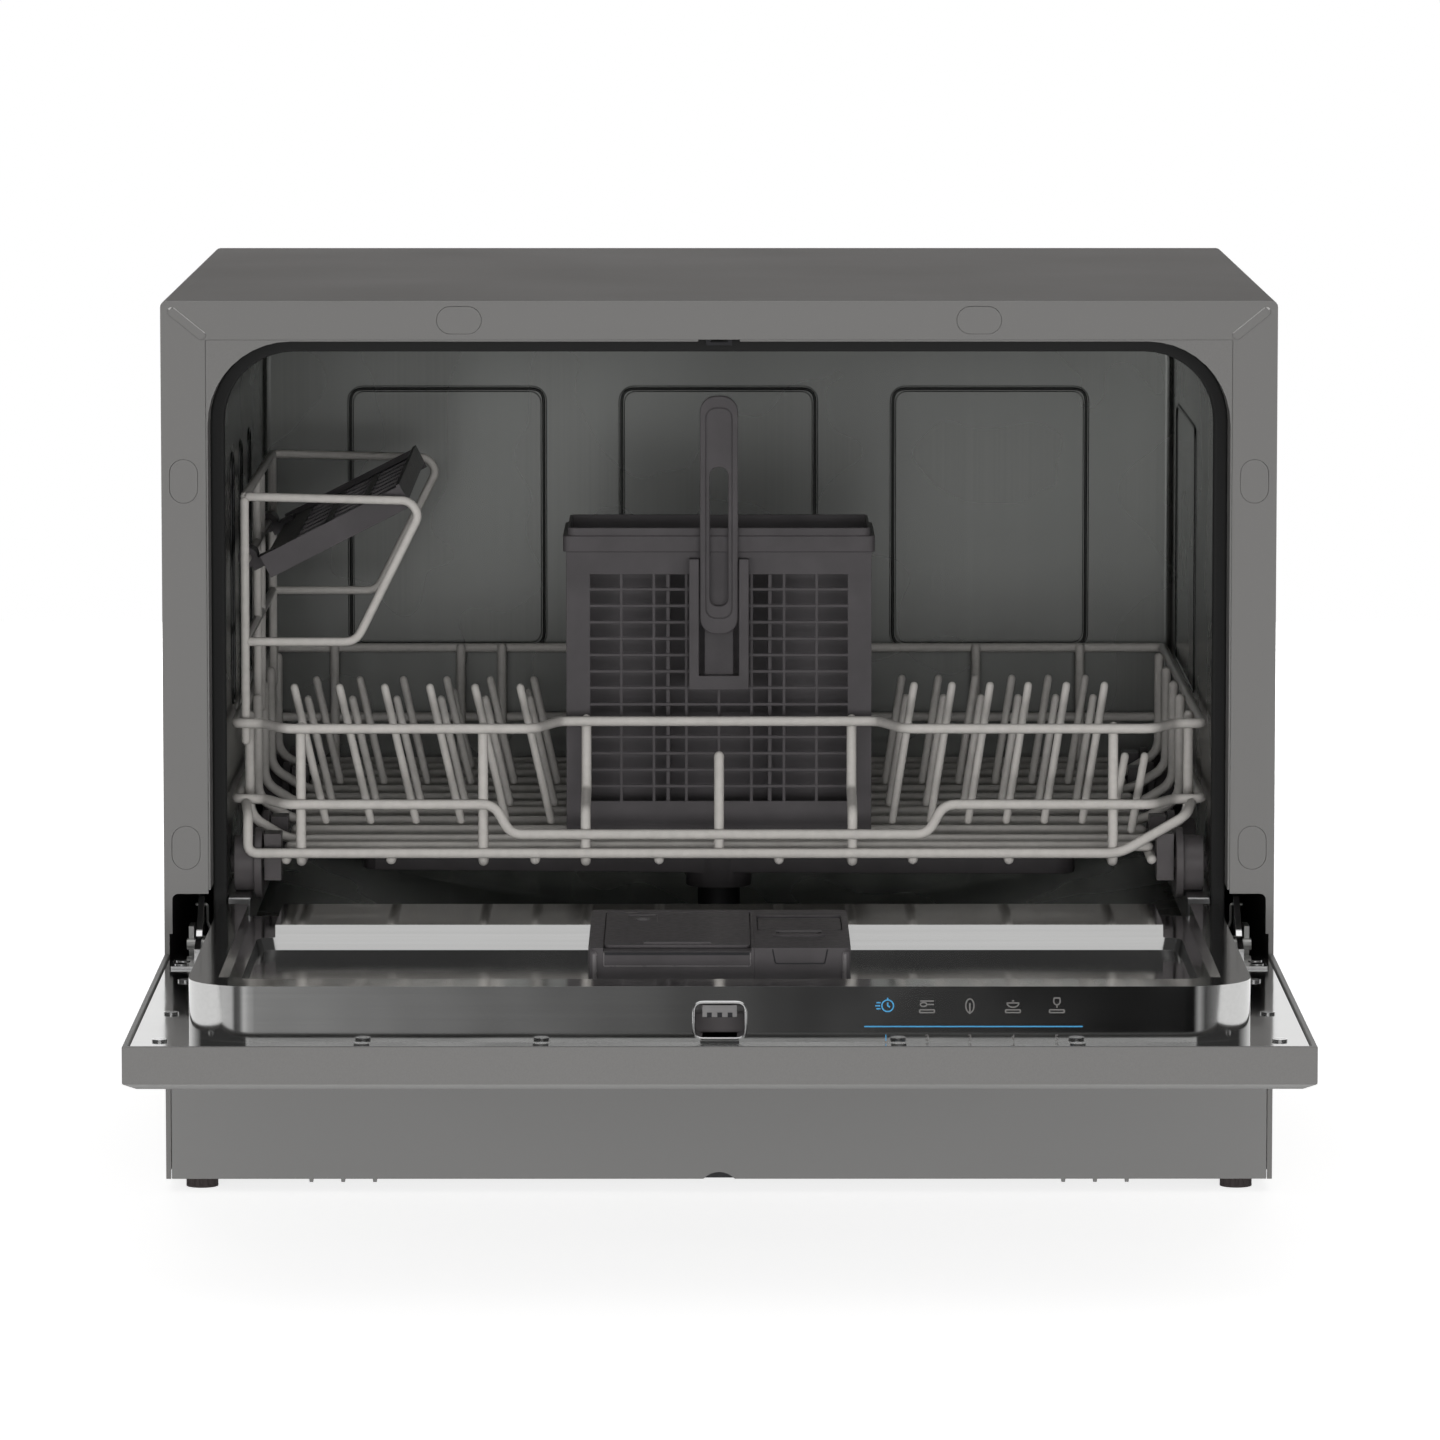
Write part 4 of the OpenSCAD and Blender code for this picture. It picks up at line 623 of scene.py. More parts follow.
def outline_face(bm: bmesh.types.BMesh, corners: Sequence[Point], rounding: Sequence[float],
                 steps: int = 8) -> None:
    """Make a flat face and round its corners.

    Args:
        bm: The mesh to add to.
        corners: The corner points in millimetres.
        rounding: The radius at each corner, 0 for a sharp one.
        steps: Segments at each round corner.
    """
    verts = [bm.verts.new(at(*corner)) for corner in corners]
    bm.faces.new(verts)
    for radius in sorted({r for r in rounding if r > 0}):
        chosen = [v for v, r in zip(verts, rounding) if r == radius]
        bmesh.ops.bevel(bm, geom=chosen, offset=radius * MM, segments=steps, profile=0.5,
                        affect="VERTICES", material=-1)


def push_out(bm: bmesh.types.BMesh, faces: Sequence[bmesh.types.BMFace], push: Point,
             taper: Point = (1.0, 1.0, 1.0)) -> list[bmesh.types.BMVert]:
    """Extrude faces.

    Args:
        bm: The mesh.
        faces: The faces.
        push: How far they go, in millimetres.
        taper: Their scale there, about their middle, along X, Y and Z.

    Returns:
        The moved faces' vertices.
    """
    pushed = bmesh.ops.extrude_face_region(bm, geom=faces)
    verts = [g for g in pushed["geom"] if isinstance(g, bmesh.types.BMVert)]
    bmesh.ops.translate(bm, verts=verts, vec=Vector(push) * MM)
    middle = sum((v.co for v in verts), Vector()) / len(verts)
    bmesh.ops.scale(bm, verts=verts, vec=taper, space=Matrix.Translation(-middle))
    return verts


def prism(name: str, corners: Sequence[Point], rounding: Sequence[float], push: Point,
          taper: Point = (1.0, 1.0, 1.0), steps: int = 8) -> Piece:
    """Push a round-cornered outline into a solid.

    Args:
        name: The object's name.
        corners: The outline in millimetres.
        rounding: The radius at each corner.
        push: The way the outline is pushed, in millimetres.
        taper: The far face's scale along X, Y and Z.
        steps: Segments at each round corner.

    Returns:
        The new object.
    """
    bm = bmesh.new()
    outline_face(bm, corners, rounding, steps)
    push_out(bm, bm.faces[:], push, taper)
    return from_bmesh(name, bm)


def carve(obj: Piece, cutters: Sequence[Piece], operation: str = "DIFFERENCE") -> Piece:
    """Cut shapes out of a piece, or add them, and drop the cutters.

    Args:
        obj: The piece.
        cutters: The other solids.
        operation: Blender's boolean operation.

    Returns:
        The piece with its new mesh.
    """
    for cutter in cutters:
        step = obj.modifiers.new("carve", "BOOLEAN")
        step.operation = operation
        step.solver = "EXACT"
        step.object = cutter
    mesh = final_mesh(obj)
    obj.modifiers.clear()
    old, obj.data = obj.data, mesh
    bpy.data.meshes.remove(old)
    for cutter in cutters:
        bpy.data.objects.remove(cutter)
    with editing(mesh) as bm:
        simplify(bm, 0.3)
    smooth(mesh, 30.0)
    return obj


def block(name: str, x0: float, x1: float, y0: float, y1: float, z0: float, z1: float,
          radius: float = 0.0) -> Piece:
    """Make a block whose upright edges may be round."""
    return prism(name, flat(x0, x1, y0, y1, z0), [radius] * 4, (0, 0, z1 - z0))


# ---------------------------------------------------------------- the machine


@dataclass
class Cabinet:
    """Painted case, front frame, back and base."""

    edge: float = 0.35
    half: float = 275.0
    height: float = 443.0
    rib_width: float = 4.8
    rib_start: Span = (3.6, 3.6)
    rib_end: Span = (22.4, 18.8)
    rib_root: float = 0.3
    rib_rise: float = 1.05
    rib_taper: float = 0.88

    def casing(self) -> None:
        """Fold the casing, with the front's paint on its front faces and a lighter paint on its rounded
        edges as a painted highlight.
        """
        obj = softened_node("outer_casing", CASE_PAINT, 0.7, 3)
        obj.data.materials.append(FRONT_PAINT.build())
        obj.data.materials.append(EDGE_HIGHLIGHT_PAINT.build())
        # The bevel faces take the lighter edge paint: a painted highlight along the edges.
        obj.modifiers["soft_edges"].material = 2
        for face in obj.data.polygons:
            if face.normal.y < -0.5:
                face.material_index = 1

    def mitre_ribs(self) -> None:
        """Press a raised rib across the mitre of each top corner, its upward faces in a light paint as a
        painted highlight.
        """
        for name, side in (("left", -1), ("right", 1)):
            ends = [Vector((side * (self.half - inwards), self.height - down))
                    for inwards, down in (self.rib_start, self.rib_end)]
            along = (ends[1] - ends[0]).normalized()
            across = Vector((-along.y, along.x)) * self.rib_width / 2
            corners = [ends[0] - across, ends[1] - across, ends[1] + across, ends[0] + across]
            rib = prism(f"mitre_rib_{name}", [(c.x, self.rib_root, c.y) for c in corners],
                        [self.rib_width / 2.1] * 4, (0, -self.rib_rise, 0),
                        (self.rib_taper, 1, self.rib_taper))
            soften(rib, 0.5, 4)
            settle(rib, FRONT_PAINT, "outer_casing")
            rib.data.materials.append(RIB_HIGHLIGHT_PAINT.build())
            for face in rib.data.polygons:
                # Faces turned upwards take the light rib paint: a painted highlight.
                face.material_index = int(face.normal.z > 0.35)

    def build(self) -> None:
        """Round the case's edges and finish what is fixed to it."""
        self.casing()
        self.mitre_ribs()
        soften_nodes(
            # The plinth's lighter paint is painted light.
            ("front_frame", FRONT_PAINT, self.edge), ("plinth", PLINTH_LIT_PAINT, self.edge),
            ("frame_plugs", FRONT_PAINT, 0.2), ("back_panel", ZINC, 0.3), ("feet", FOOT_RUBBER, 0.4),
            ("casing_screws", ZINC, 0.15, 1), ("latch_strike", BLACK_PLASTIC_AND_SHADE, 0.3))


@dataclass
class Tub:
    """Stainless tub, its coves, seal, rails and floor."""

    half: float = 247.0
    top: float = 418.0
    floor: float = 118.0
    back: float = 438.0
    front: float = 36.0
    corner: float = 35.0
    cove: float = 4.0

    def arch(self, y: float, inset: float) -> list[Vector]:
        """Return the tub's inner outline at a depth, from the right foot over to the left."""
        half, top, r = self.half - inset, self.top - inset, self.corner - inset
        points = [Vector((half, y, self.floor + 1.5))]
        for side, start in ((1, 0), (-1, 90)):
            for k in range(11):
                a = math.radians(start + 9 * k)
                points.append(Vector((side * (half - r) + r * math.cos(a), y,
                                      top - r + r * math.sin(a))))
        points.append(Vector((-half, y, self.floor + 1.5)))
        return points

    def back_cove(self) -> None:
        """Round the corner between the walls and the back."""
        arc = [(self.cove * (1 - math.cos(math.radians(a))),
                self.cove * (1 - math.sin(math.radians(a))))
               for a in range(0, 91, 15)]
        bm = bmesh.new()
        rings = []
        for inset, forward in arc + [(0.05, 0.05)]:
            rings.append([bm.verts.new(at(*p))
                          for p in self.arch(self.back - forward, max(inset, 0.05))])
        edges = []
        for ring in rings:
            edges.append([bm.edges.new(pair) for pair in zip(ring, ring[1:])])
        for a, b in zip(edges, edges[1:] + edges[:1]):
            bmesh.ops.bridge_loops(bm, edges=a + b)
        bmesh.ops.holes_fill(bm, edges=bm.edges, sides=0)
        settle(from_bmesh("tub_cove", bm, 60.0), TUB_STEEL, "tub")

    def wall_beads(self) -> None:
        """Line the pressed outlines on the back and side walls with dark steel tubes, whose dark colour
        is painted shade for the grooves.
        """
        pitch, y, left, right = self.half - 99.6, self.back - 0.1, 0.1 - self.half, self.half - 0.1
        beads = [((x - 52.5, y, 189.5), (x + 52.5, y, 49.5), 7) for x in (-pitch, 0, pitch)]
        beads += [((left, y - 10.5, 186.5), (left, y + 10.5, 59.5), 9)
                  for y in (self.front + 84 + 80 * k for k in range(3))]
        beads.append(((right, self.front + 175.5, 191.5), (right, self.back - 49.5, 54.5), 9))
        runs = [Run(upright((x0, y0, self.top - low), (x1, y1, self.top - high)), bend, True)
                for (x0, y0, low), (x1, y1, high), bend in beads]
        wire_piece("wall_beads", runs, 0.85, BEAD_SHADE_STEEL, "tub", sides=8)

    def build(self) -> None:
        """Dress the tub."""
        softened_node("tub", TUB_STEEL, 0.25)
        self.back_cove()
        self.wall_beads()
        soften_nodes(
            ("tub_floor", TUB_STEEL, 0.6), ("tub_rails", SIDE_STEEL, 1.2, 3),
            ("door_gasket", SEAL_RUBBER, 1.2, 3), ("filter_plate", SIDE_STEEL, 0.25),
            ("filter_cup", DARK_PLASTIC, 0.5), ("salt_cap", DARK_PLASTIC, 0.5),
            ("float_cap", WHITE_PLASTIC, 0.8, 3), ("spray_arm", DARK_PLASTIC, 0.8, 3))


@dataclass
class Door:
    """Open door with its pressed lining, latch and hinge arms."""

    reach: float = 314.0
    flange: float = 118.0
    sheet: float = 0.8
    flange_half: float = 271.8
    ledge: float = 144.0
    half: float = 247.2
    corner: float = 32.0
    wall_y: float = -292.0
    end_y: float = -0.5
    pan_half: float = 226.0
    pan_front: float = -267.0
    pan_rear: float = -78.0
    pan_z: float = 132.0
    pan_lean: float = 2.6
    track_half: float = 233.2
    track_z: float = 138.0
    disp_half: float = 62.05
    disp_front: float = -205.05
    disp_rear: float = -67.95

    def liner_body(self) -> Piece:
        """Press the raised lining out of its flange."""
        foot = self.flange - self.sheet
        raised = prism("fine_door_liner", flat(-self.half, self.half, self.wall_y, self.end_y, foot),
                       [self.corner, self.corner, 0, 0], (0, 0, self.ledge - foot), steps=12)
        flange = block("flange", -self.flange_half, self.flange_half, 3.2 - self.reach, -4.0, foot,
                       self.flange)
        return carve(raised, [flange], "UNION")

    def pan_cutter(self) -> Piece:
        """Shape the pan: deep, with walls that lean out."""
        lean, x, deep = self.pan_lean, self.pan_half, self.pan_z - 0.02
        y0, y1 = self.pan_front, self.pan_rear
        bm = bmesh.new()
        outline_face(bm, flat(lean - x, x - lean, y0 + lean, y1 - lean, deep), [10] * 4)
        grow = (x / (x - lean), (y1 - y0) / (y1 - y0 - 2 * lean), 1)
        rim = push_out(bm, bm.faces[:], (0, 0, self.ledge - deep), grow)
        push_out(bm, [f for f in bm.faces if all(v in rim for v in f.verts)], (0, 0, 2))
        return from_bmesh("pan", bm)

    def liner(self) -> None:
        """Press, pierce and round the lining."""
        body, above = self.liner_body(), self.ledge + 2
        cutters = [self.pan_cutter()]
        for side in (-1, 1):
            x0, x1 = sorted((side * (self.pan_half - 10), side * self.track_half))
            cutters.append(block("track", x0, x1, self.pan_front + 6, 4, self.track_z, above))
        x, y0, y1 = self.disp_half, self.disp_front, self.disp_rear
        cutters.append(block("seat", -x, x, y0, y1, self.pan_z - 0.05, above, 4))
        cutters.append(block("well", 2 - x, x - 2, y0 + 2, y1 - 2, self.flange - 3, self.pan_z + 1, 3))
        y = self.wall_y - 4
        window = upright((-12, y, self.flange + 1.8), (12, y, self.flange + 18.6))
        cutters.append(prism("window", window, [4] * 4, (0, 27.5, 0)))
        carve(body, cutters)
        soften(body, 1.7, 3, 28)
        settle(body, LINER_STEEL, "door_liner", replaces=["door_liner"])

    def bezel(self) -> None:
        """Bend the bright ring round the latch window."""
        y = self.wall_y - 0.1
        ring = Run(upright((-12.1, y, self.flange + 1.7), (12.1, y, self.flange + 18.7)), 4.6, True)
        wire_piece("latch_ring", [ring], 0.75, CHROME, "latch_bezel", ["latch_bezel"], 10)

    def latch_trim(self) -> None:
        """Paint shade into the hook's three notches with thin black plates, and lay a thin black plate
        of painted shade on the flange under the window.
        """
        y, z = self.wall_y, self.flange
        for name, x in (("left", -4.8), ("middle", 0.0), ("right", 4.8)):
            notch = block(f"latch_notch_painted_shade_{name}", x - 1.1, x + 1.1, y + 1.85, y + 2.3, z + 11.3, z + 13.5)
            settle(notch, BLACK_PLASTIC_AND_SHADE, "latch_hook")
        sill = block("latch_sill_painted_shade", -9.0, 9.0, y - 3.6, y - 0.4, z - 0.1, z + 0.25)
        settle(sill, BLACK_PLASTIC_AND_SHADE, "door_liner")

    def build(self) -> None:
        """Dress the door."""
        panel = softened_node("door_panel", FRONT_PAINT, 0.5)
        panel.data.materials.append(EDGE_HIGHLIGHT_PAINT.build())
        # Faces turned down and forward take the lighter edge paint: painted light from below.
        for face in panel.data.polygons:
            if face.normal.y < -0.3 and face.normal.z < -0.3:
                face.material_index = 1
        self.liner()
        self.bezel()
        self.latch_trim()
        soften_nodes(
            ("latch_housing", WHEEL_PLASTIC, 0.4), ("latch_hook", LATCH_PLASTIC, 0.35),
            ("hinge_arms", CHROME, 0.3), ("door_screws", CHROME, 0.2, 2),
            ("control_fascia", BLACK_PLASTIC_AND_SHADE, 0.3), ("display_window", WINDOW, 0.4),
            *((f"button_{name}", BUTTON_METAL, 0.5, 3) for name in ("power", "program", "start")))


@dataclass
class Dispenser:
    """Moulded detergent and rinse-aid dispenser."""

    half: float = 62.0
    front: float = -205.0
    low: float = 132.0
    top: float = 150.0
    lid: Span = (-54.6, 14.6)
    tab: Span = (25.0, 51.0)
    port_at: Span = (-37.0, -98.0)
    port_radius: float = 3.1

    def columns(self) -> None:
        """Stand a rounded column at each end of the front, in the lighter trim plastic as a painted
        highlight.
        """
        y = self.front - 0.2
        runs = [Run([(x, y, self.low + 1.6), (x, y, self.top - 1.4)])
                for x in (2.6 - self.half, self.half - 2.6)]
        wire_piece("dispenser_columns", runs, 1.5, TRIM_HIGHLIGHT_PLASTIC, "dispenser_body", sides=16)

    def front_step(self) -> None:
        """Outline the step under the lid in the lighter trim plastic as a painted highlight, and lay a
        thin black plate of painted shade in the slot that the lid slides in.
        """
        (x0, x1), y, z0, z1 = self.lid, self.front - 0.02, self.top - 8.6, self.top - 2.2
        step = Run([(x0, y, z1), (x0, y, z0), (x1, y, z0), (x1, y, z1)], 0.6)
        wire_piece("step_outline", [step], 0.28, TRIM_HIGHLIGHT_PLASTIC, "dispenser_body", sides=8)
        # A thin black plate in the lid's slot: painted shade.
        slot = block("lid_slot_painted_shade", x0 + 0.4, x1 - 0.4, y - 0.1, y + 0.22, self.top - 3.4, self.top - 2.0)
        settle(slot, BLACK_PLASTIC_AND_SHADE, "dispenser_body")

    def tab_outline(self) -> None:
        """Draw the gap round the rinse flap's front tab as a thin black line of painted shade."""
        (x0, x1), y, z0, z1 = self.tab, self.front - 0.02, self.top - 7.4, self.top - 0.6
        gap = Run([(x0, y, z1), (x0 + 1.4, y, z0), (x1 - 1.4, y, z0), (x1, y, z1)], 1.0)
        wire_piece("tab_gap_painted_shade", [gap], 0.32, BLACK_PLASTIC_AND_SHADE, "dispenser_body", sides=8)

    def port(self) -> None:
        """Ring the lid's round port in the lighter trim plastic as a painted highlight."""
        steps, (x, y), r = 24, self.port_at, self.port_radius
        angles = [2 * math.pi * k / steps for k in range(steps)]
        circle = [(x + r * math.cos(a), y + r * math.sin(a), self.top - 0.75) for a in angles]
        wire_piece("port_ring", [Run(circle, 0.1, True)], 0.5, TRIM_HIGHLIGHT_PLASTIC, "detergent_lid", sides=8)

    def build(self) -> None:
        """Round the mouldings and trim them."""
        soften_nodes(("dispenser_body", DARK_PLASTIC, 0.4), ("detergent_lid", DARK_PLASTIC, 0.25),
                     ("rinse_flap", DARK_PLASTIC, 0.3))
        self.columns()
        self.front_step()
        self.tab_outline()
        self.port()


@dataclass
class Basket:
    """Wire dish basket on four pairs of wheels."""

    half: float = 242.0
    front: float = 30.0
    back: float = 430.0
    corner_y: float = 54.0
    middle_y: float = 64.0
    rail_z: float = 228.0
    mid_z: float = 190.0
    dip_z: float = 175.0
    floor_z: float = 165.5
    runner_z: float = 160.4
    low_half: float = 218.0
    wire: float = 2.5
    weld: float = 4.72
    posts: Row = (-208.6, -117.7, -66.6, 66.6, 196.6)
    back_posts: Row = (-140, 0, 140)
    stay_ys: Row = (87, 165, 230, 300, 373)
    cross_ys: Row = (58, 126, 204, 265, 335, 400)
    long_xs: Row = (-216.5, -164, -92, -30, 30, 97, 145, 216.5)
    pin: float = 2.1
    lean: float = 12.9
    pin_height: float = 74.0
    pin_ys: Row = (126, 204, 300)
    left_pitch: float = 23.0
    right_pitch: float = 19.4

    def rail(self, z: float, middle: Sequence[Point]) -> Run:
        """Return a closed rail at a height, with its own way across the front's middle."""
        x, f, c = self.half, self.front, self.corner_y
        return Run([(-x, c, z), (14 - x, c, z), (26 - x, f, z), *middle, (x - 26, f, z),
                    (x - 14, c, z), (x, c, z), (x, self.back, z), (-x, self.back, z)], 6.0, True)

    def frame_runs(self) -> list[Run]:
        """Return the rails, the front bar and the uprights."""
        x, f, m, low, c = self.half, self.front, self.mid_z, self.floor_z, self.corner_y - 3
        inside, rear, back, top = f + self.weld, self.back - self.weld, self.middle_y, self.rail_z
        step = [(-92, f, top), (-80, back, top), (80, back, top), (92, f, top)]
        dip = [(-112, f, m), (-104, f, self.dip_z), (104, f, self.dip_z), (112, f, m)]
        runs = [self.rail(top, step), self.rail(m, dip)]
        runs.append(Run([
            (5 - x, c, m - 1), (7 - x, f + 4, m - 6), (7 - x, f, m - 14), (7 - x, f, low),
            (x - 42, f, low), (x - 9, f + 3, m - 6), (x - 5, c, m - 1)], 6))
        runs.append(Run([(-self.low_half, self.back, low), (self.low_half, self.back, low)]))
        for post in self.posts:
            head = [(post, inside, top + 3)]
            if abs(post) < 80:
                behind = back + self.weld
                head = [(post, behind, top + 3), (post, behind, m + 3), (post, inside, m - 4)]
            runs.append(Run([*head, (post, inside, self.runner_z), (post, rear, self.runner_z),
                             (post, rear, top + 3)], 5))
        runs += [Run([(post, rear, low - 3), (post, rear, top + 3)]) for post in self.back_posts]
        runs.append(Run([(0, inside, low - 3), (0, inside, low + 14), (0, inside + 6, low + 50)], 8))
        return runs

    def floor_runs(self) -> list[Run]:
        """Return the floor's cross wires, turned up at the sides, and its long wires."""
        stay, low, z, top = self.half - 5.1, self.low_half, self.floor_z, self.rail_z + 3
        runs = [Run([(-stay, y, top), (-stay, y, z + 12), (-low, y, z), (low, y, z),
                     (stay, y, z + 12), (stay, y, top)], 7) for y in self.stay_ys]
        runs += [Run([(-low, y, z), (low, y, z)]) for y in self.cross_ys]
        under = z - self.weld
        runs += [Run([(x, self.front + 10, under), (x, self.back - 9, under)]) for x in self.long_xs]
        return runs

    def pin_run(self, x: float, y: float, height: float, lean: float) -> Run:
        """Return a pin that leans sideways from the floor."""
        a, z = math.radians(lean), self.floor_z + self.wire + 0.3
        return Run([(x, y, z), (x + height * math.sin(a), y, z + height * math.cos(a))])

    def pins(self) -> None:
        """Make both sets of plate pins, the front row higher."""
        left, right = [], []
        for y in self.pin_ys:
            height = self.pin_height * (1 if y == self.pin_ys[0] else 0.8)
            for k in range(6):
                left.append(self.pin_run(-85 - k * self.left_pitch, y, height, -self.lean))
                right.append(self.pin_run(88 + k * self.right_pitch, y, height, self.lean * 0.7))
        left += [self.pin_run(-93 - k * 40, 373, self.pin_height * 0.6, -self.lean) for k in range(2)]
        right += [self.pin_run(198 + k * 10, 87, 42, 10) for k in range(2)]
        wire_piece("wide_pins", left, self.pin, WIRE, "left_pins", ["left_pins"], 10)
        wire_piece("close_pins", right, self.pin, WIRE, "right_pins", ["right_pins"], 10)

    def build(self) -> None:
        """Bend the wires and dress the wheels."""
        for name, runs, node in (("basket_rails", self.frame_runs(), "basket_frame"),
                                 ("basket_grid", self.floor_runs(), "basket_floor")):
            wire_piece(name, runs, self.wire, WIRE, node, [node])
        self.pins()
        soften_nodes(("wheel_clips", WHEEL_PLASTIC, 0.4),
                     *((f"{pair}_wheels", WHEEL_PLASTIC, 0.7, 3)
                       for pair in ("front", "second", "third", "rear")))


@dataclass
class GlassRack:
    """Wire rack and tilted shelf along the left side."""

    x: float = -237.55
    y0: float = 65.0
    y1: float = 339.0
    top: float = 341.0
    low: float = 268.0
    foot: float = 216.0
    hinge_z: float = 308.0
    tip_x: float = -150.0
    wire: float = 2.2

    def build(self) -> None:
        """Bend the loops and rails and dress the shelf."""
        x, y0, y1, low, top = self.x, self.y0, self.y1, self.low, self.top
        middle, tip = (y0 + y1) / 2, self.tip_x
        runs = [Run([(x, y, top), (tip - 5, y, top - 2), (tip, y, top - 9), (tip - 32, y, low),
                     (x, y, low)], 6) for y in (y0, y1)]
        runs += [Run([(x, y0, z), (x, y1, z)]) for z in (low, top)]
        runs += [Run([(x, y, self.foot), (x, y, top)]) for y in (y0, middle - 20, middle + 20, y1)]
        rod = Run([(x, y0, self.hinge_z), (x, y1, self.hinge_z)])
        wire_piece("rack_wires", runs, self.wire, WIRE, "glass_rack", ["glass_rack"])
        wire_piece("rack_rod", [rod], 2.0, WIRE, "glass_rack")
        softened_node("cup_shelf", DARK_PLASTIC, 0.5)


@dataclass
class CutleryBasket:
    """Moulded cutlery basket with its lift handle."""

    def build(self) -> None:
        """Round the mouldings."""
        soften_nodes(("cutlery_basket", DARK_PLASTIC, 0.25, 1), ("cutlery_handle", DARK_PLASTIC, 0.8, 3))


@dataclass
class Springs:
    """Closed coil springs that balance the door."""

    x: float = 255.0
    y: float = 21.0
    low: float = 28.0
    top: float = 126.0
    tail_z: float = 141.0
    closed_z: float = 106.0
    coil: float = 3.6
    turns: int = 30
    hook_x: float = 254.9
    tail_x: float = 260.9

    def build(self) -> None:
        """Wind a spring at each side."""
        runs, turn_steps = [], 10
        steps = self.turns * turn_steps
        for side in (-1, 1):
            points = []
            for k in range(steps + 1):
                a = 2 * math.pi * k / turn_steps
                points.append((side * (self.x - self.coil * math.cos(a)),
                               self.y + self.coil * math.sin(a),
                               self.low + (self.top - self.low) * k / steps))
            hook = side * self.hook_x
            points += [(side * (self.x - 1.5), self.y, self.top + 3), (hook, self.y, self.top + 6),
                       (hook, self.y, self.tail_z), (side * self.tail_x, self.y, self.tail_z)]
            runs.append(Run(points, 1.0))
        springs = wire_piece("coil_springs", runs, 0.8, ZINC, "door_springs", ["door_springs"], 6)
        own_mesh(springs)


@dataclass
class Legend:
    """Programme signs printed on the lining's front wall."""

    wall_y: float = -292.0
    xs: Row = (76.8, 95.8, 115.6, 135.5, 155.8)
    icon_z: float = 135.0
    line_z: float = 125.3
    digit_z: float = 119.9
    stroke: float = 0.36
    flatness: float = 0.22

    def signs(self) -> list[list[Run]]:
        """Return the strokes of each sign round its own middle: clock, plates, leaf, pot, glass."""
        def ring(cx: float, cz: float, rx: float, rz: float, a0: float = 0, a1: float = 360) -> Run:
            """Return an arc of an oval as a stroke."""
            steps = 20
            full = a1 - a0 >= 360
            return Run([(cx + rx * math.cos(math.radians(a0 + (a1 - a0) * k / steps)), 0,
                         cz + rz * math.sin(math.radians(a0 + (a1 - a0) * k / steps)))
                        for k in range(steps if full else steps + 1)], 0.1, full)

        def bar(*points: tuple[float, float]) -> Run:
            """Return an open stroke."""
            return Run([(x, 0, z) for x, z in points], 0.2)

        stack = [bar((-3.4, -3.2), (3.4, -3.2)), bar((-3.4, -1.9), (3.4, -1.9)),
                 bar((-3.4, -3.2), (-3.4, -1.9)), bar((3.4, -3.2), (3.4, -1.9))]
        return [
            [ring(0.8, 0, 2.7, 2.7), bar((0.8, 1.5), (0.8, 0), (1.9, -0.7)), bar((0.8, 2.7), (0.8, 3.7)),
             bar((-4.4, 1.4), (-2.5, 1.4)), bar((-5.0, 0), (-2.7, 0)), bar((-4.4, -1.4), (-2.5, -1.4))],
            [*stack, ring(-1.6, 0.6, 1.5, 0.9), bar((-0.1, 0.6), (3.2, 0.6)),
             bar((-3.2, 2.2), (3.2, 2.2))],
            [ring(0, 0, 1.9, 3.2, 90, 270), ring(0, 0, 1.9, 3.2, -90, 90), bar((0, -3.9), (0, 1.2))],
            [*stack, ring(0, 1.2, 2.7, 1.9, 180, 360), bar((-2.9, 1.3), (2.9, 1.3)),
             bar((-0.5, 2.3), (0.5, 2.3))],
            [*stack, ring(0, 2.2, 1.5, 1.8, 180, 360), bar((0, 0.4), (0, -0.9)),
             bar((-1.5, 2.2), (-1.3, 3.6), (1.3, 3.6), (1.5, 2.2))],
        ]

    def ink(self, name: str, runs: Sequence[Run], finish: Finish) -> None:
        """Flatten strokes onto the wall and settle them on the door."""
        mesh = wire_mesh(runs, self.stroke, 6)
        wall = Matrix.Translation(-at(0, self.wall_y, 0))
        with editing(mesh) as bm:
            bmesh.ops.scale(bm, verts=bm.verts, vec=(1, self.flatness, 1), space=wall)
        settle(put(name, mesh), finish, "door_liner")

    def moved(self, runs: Sequence[Run], x: float, z: float) -> list[Run]:
        """Shift a sign to its place on the wall."""
        return [Run([(px + x, self.wall_y, pz + z) for px, _, pz in r.points], r.bend, r.closed, False)
                for r in runs]

    def digits(self) -> None:
        """Number the signs."""
        upright_text = Euler((math.pi / 2, 0, 0)).to_matrix().to_4x4()
        for number, x in enumerate(self.xs, 1):
            text = bpy.data.curves.new(f"digit_{number}", "FONT")
            text.body = str(number)
            text.size = 4.2 * MM
            text.align_x = text.align_y = "CENTER"
            text.extrude = 0.05 * MM
            mesh = baked(text)
            mesh.transform(Matrix.Translation(at(x, self.wall_y - 0.03, self.digit_z)) @ upright_text)
            finish = BLUE_INK if number == 1 else GREY_INK
            settle(put(f"sign_digit_{number}", mesh), finish, "door_liner")

    def build(self) -> None:
        """Print the signs, the line under them and the digits."""
        signs = self.signs()
        line = [Run([(66.7, self.wall_y, self.line_z), (167.9, self.wall_y, self.line_z)])]
        self.ink("sign_first", self.moved(signs[0], self.xs[0], self.icon_z) + line, BLUE_INK)
        rest = [run for sign, x in zip(signs[1:], self.xs[1:])
                for run in self.moved(sign, x, self.icon_z)]
        self.ink("sign_others", rest, GREY_INK)
        self.digits()


# ---------------------------------------------------------------- studio


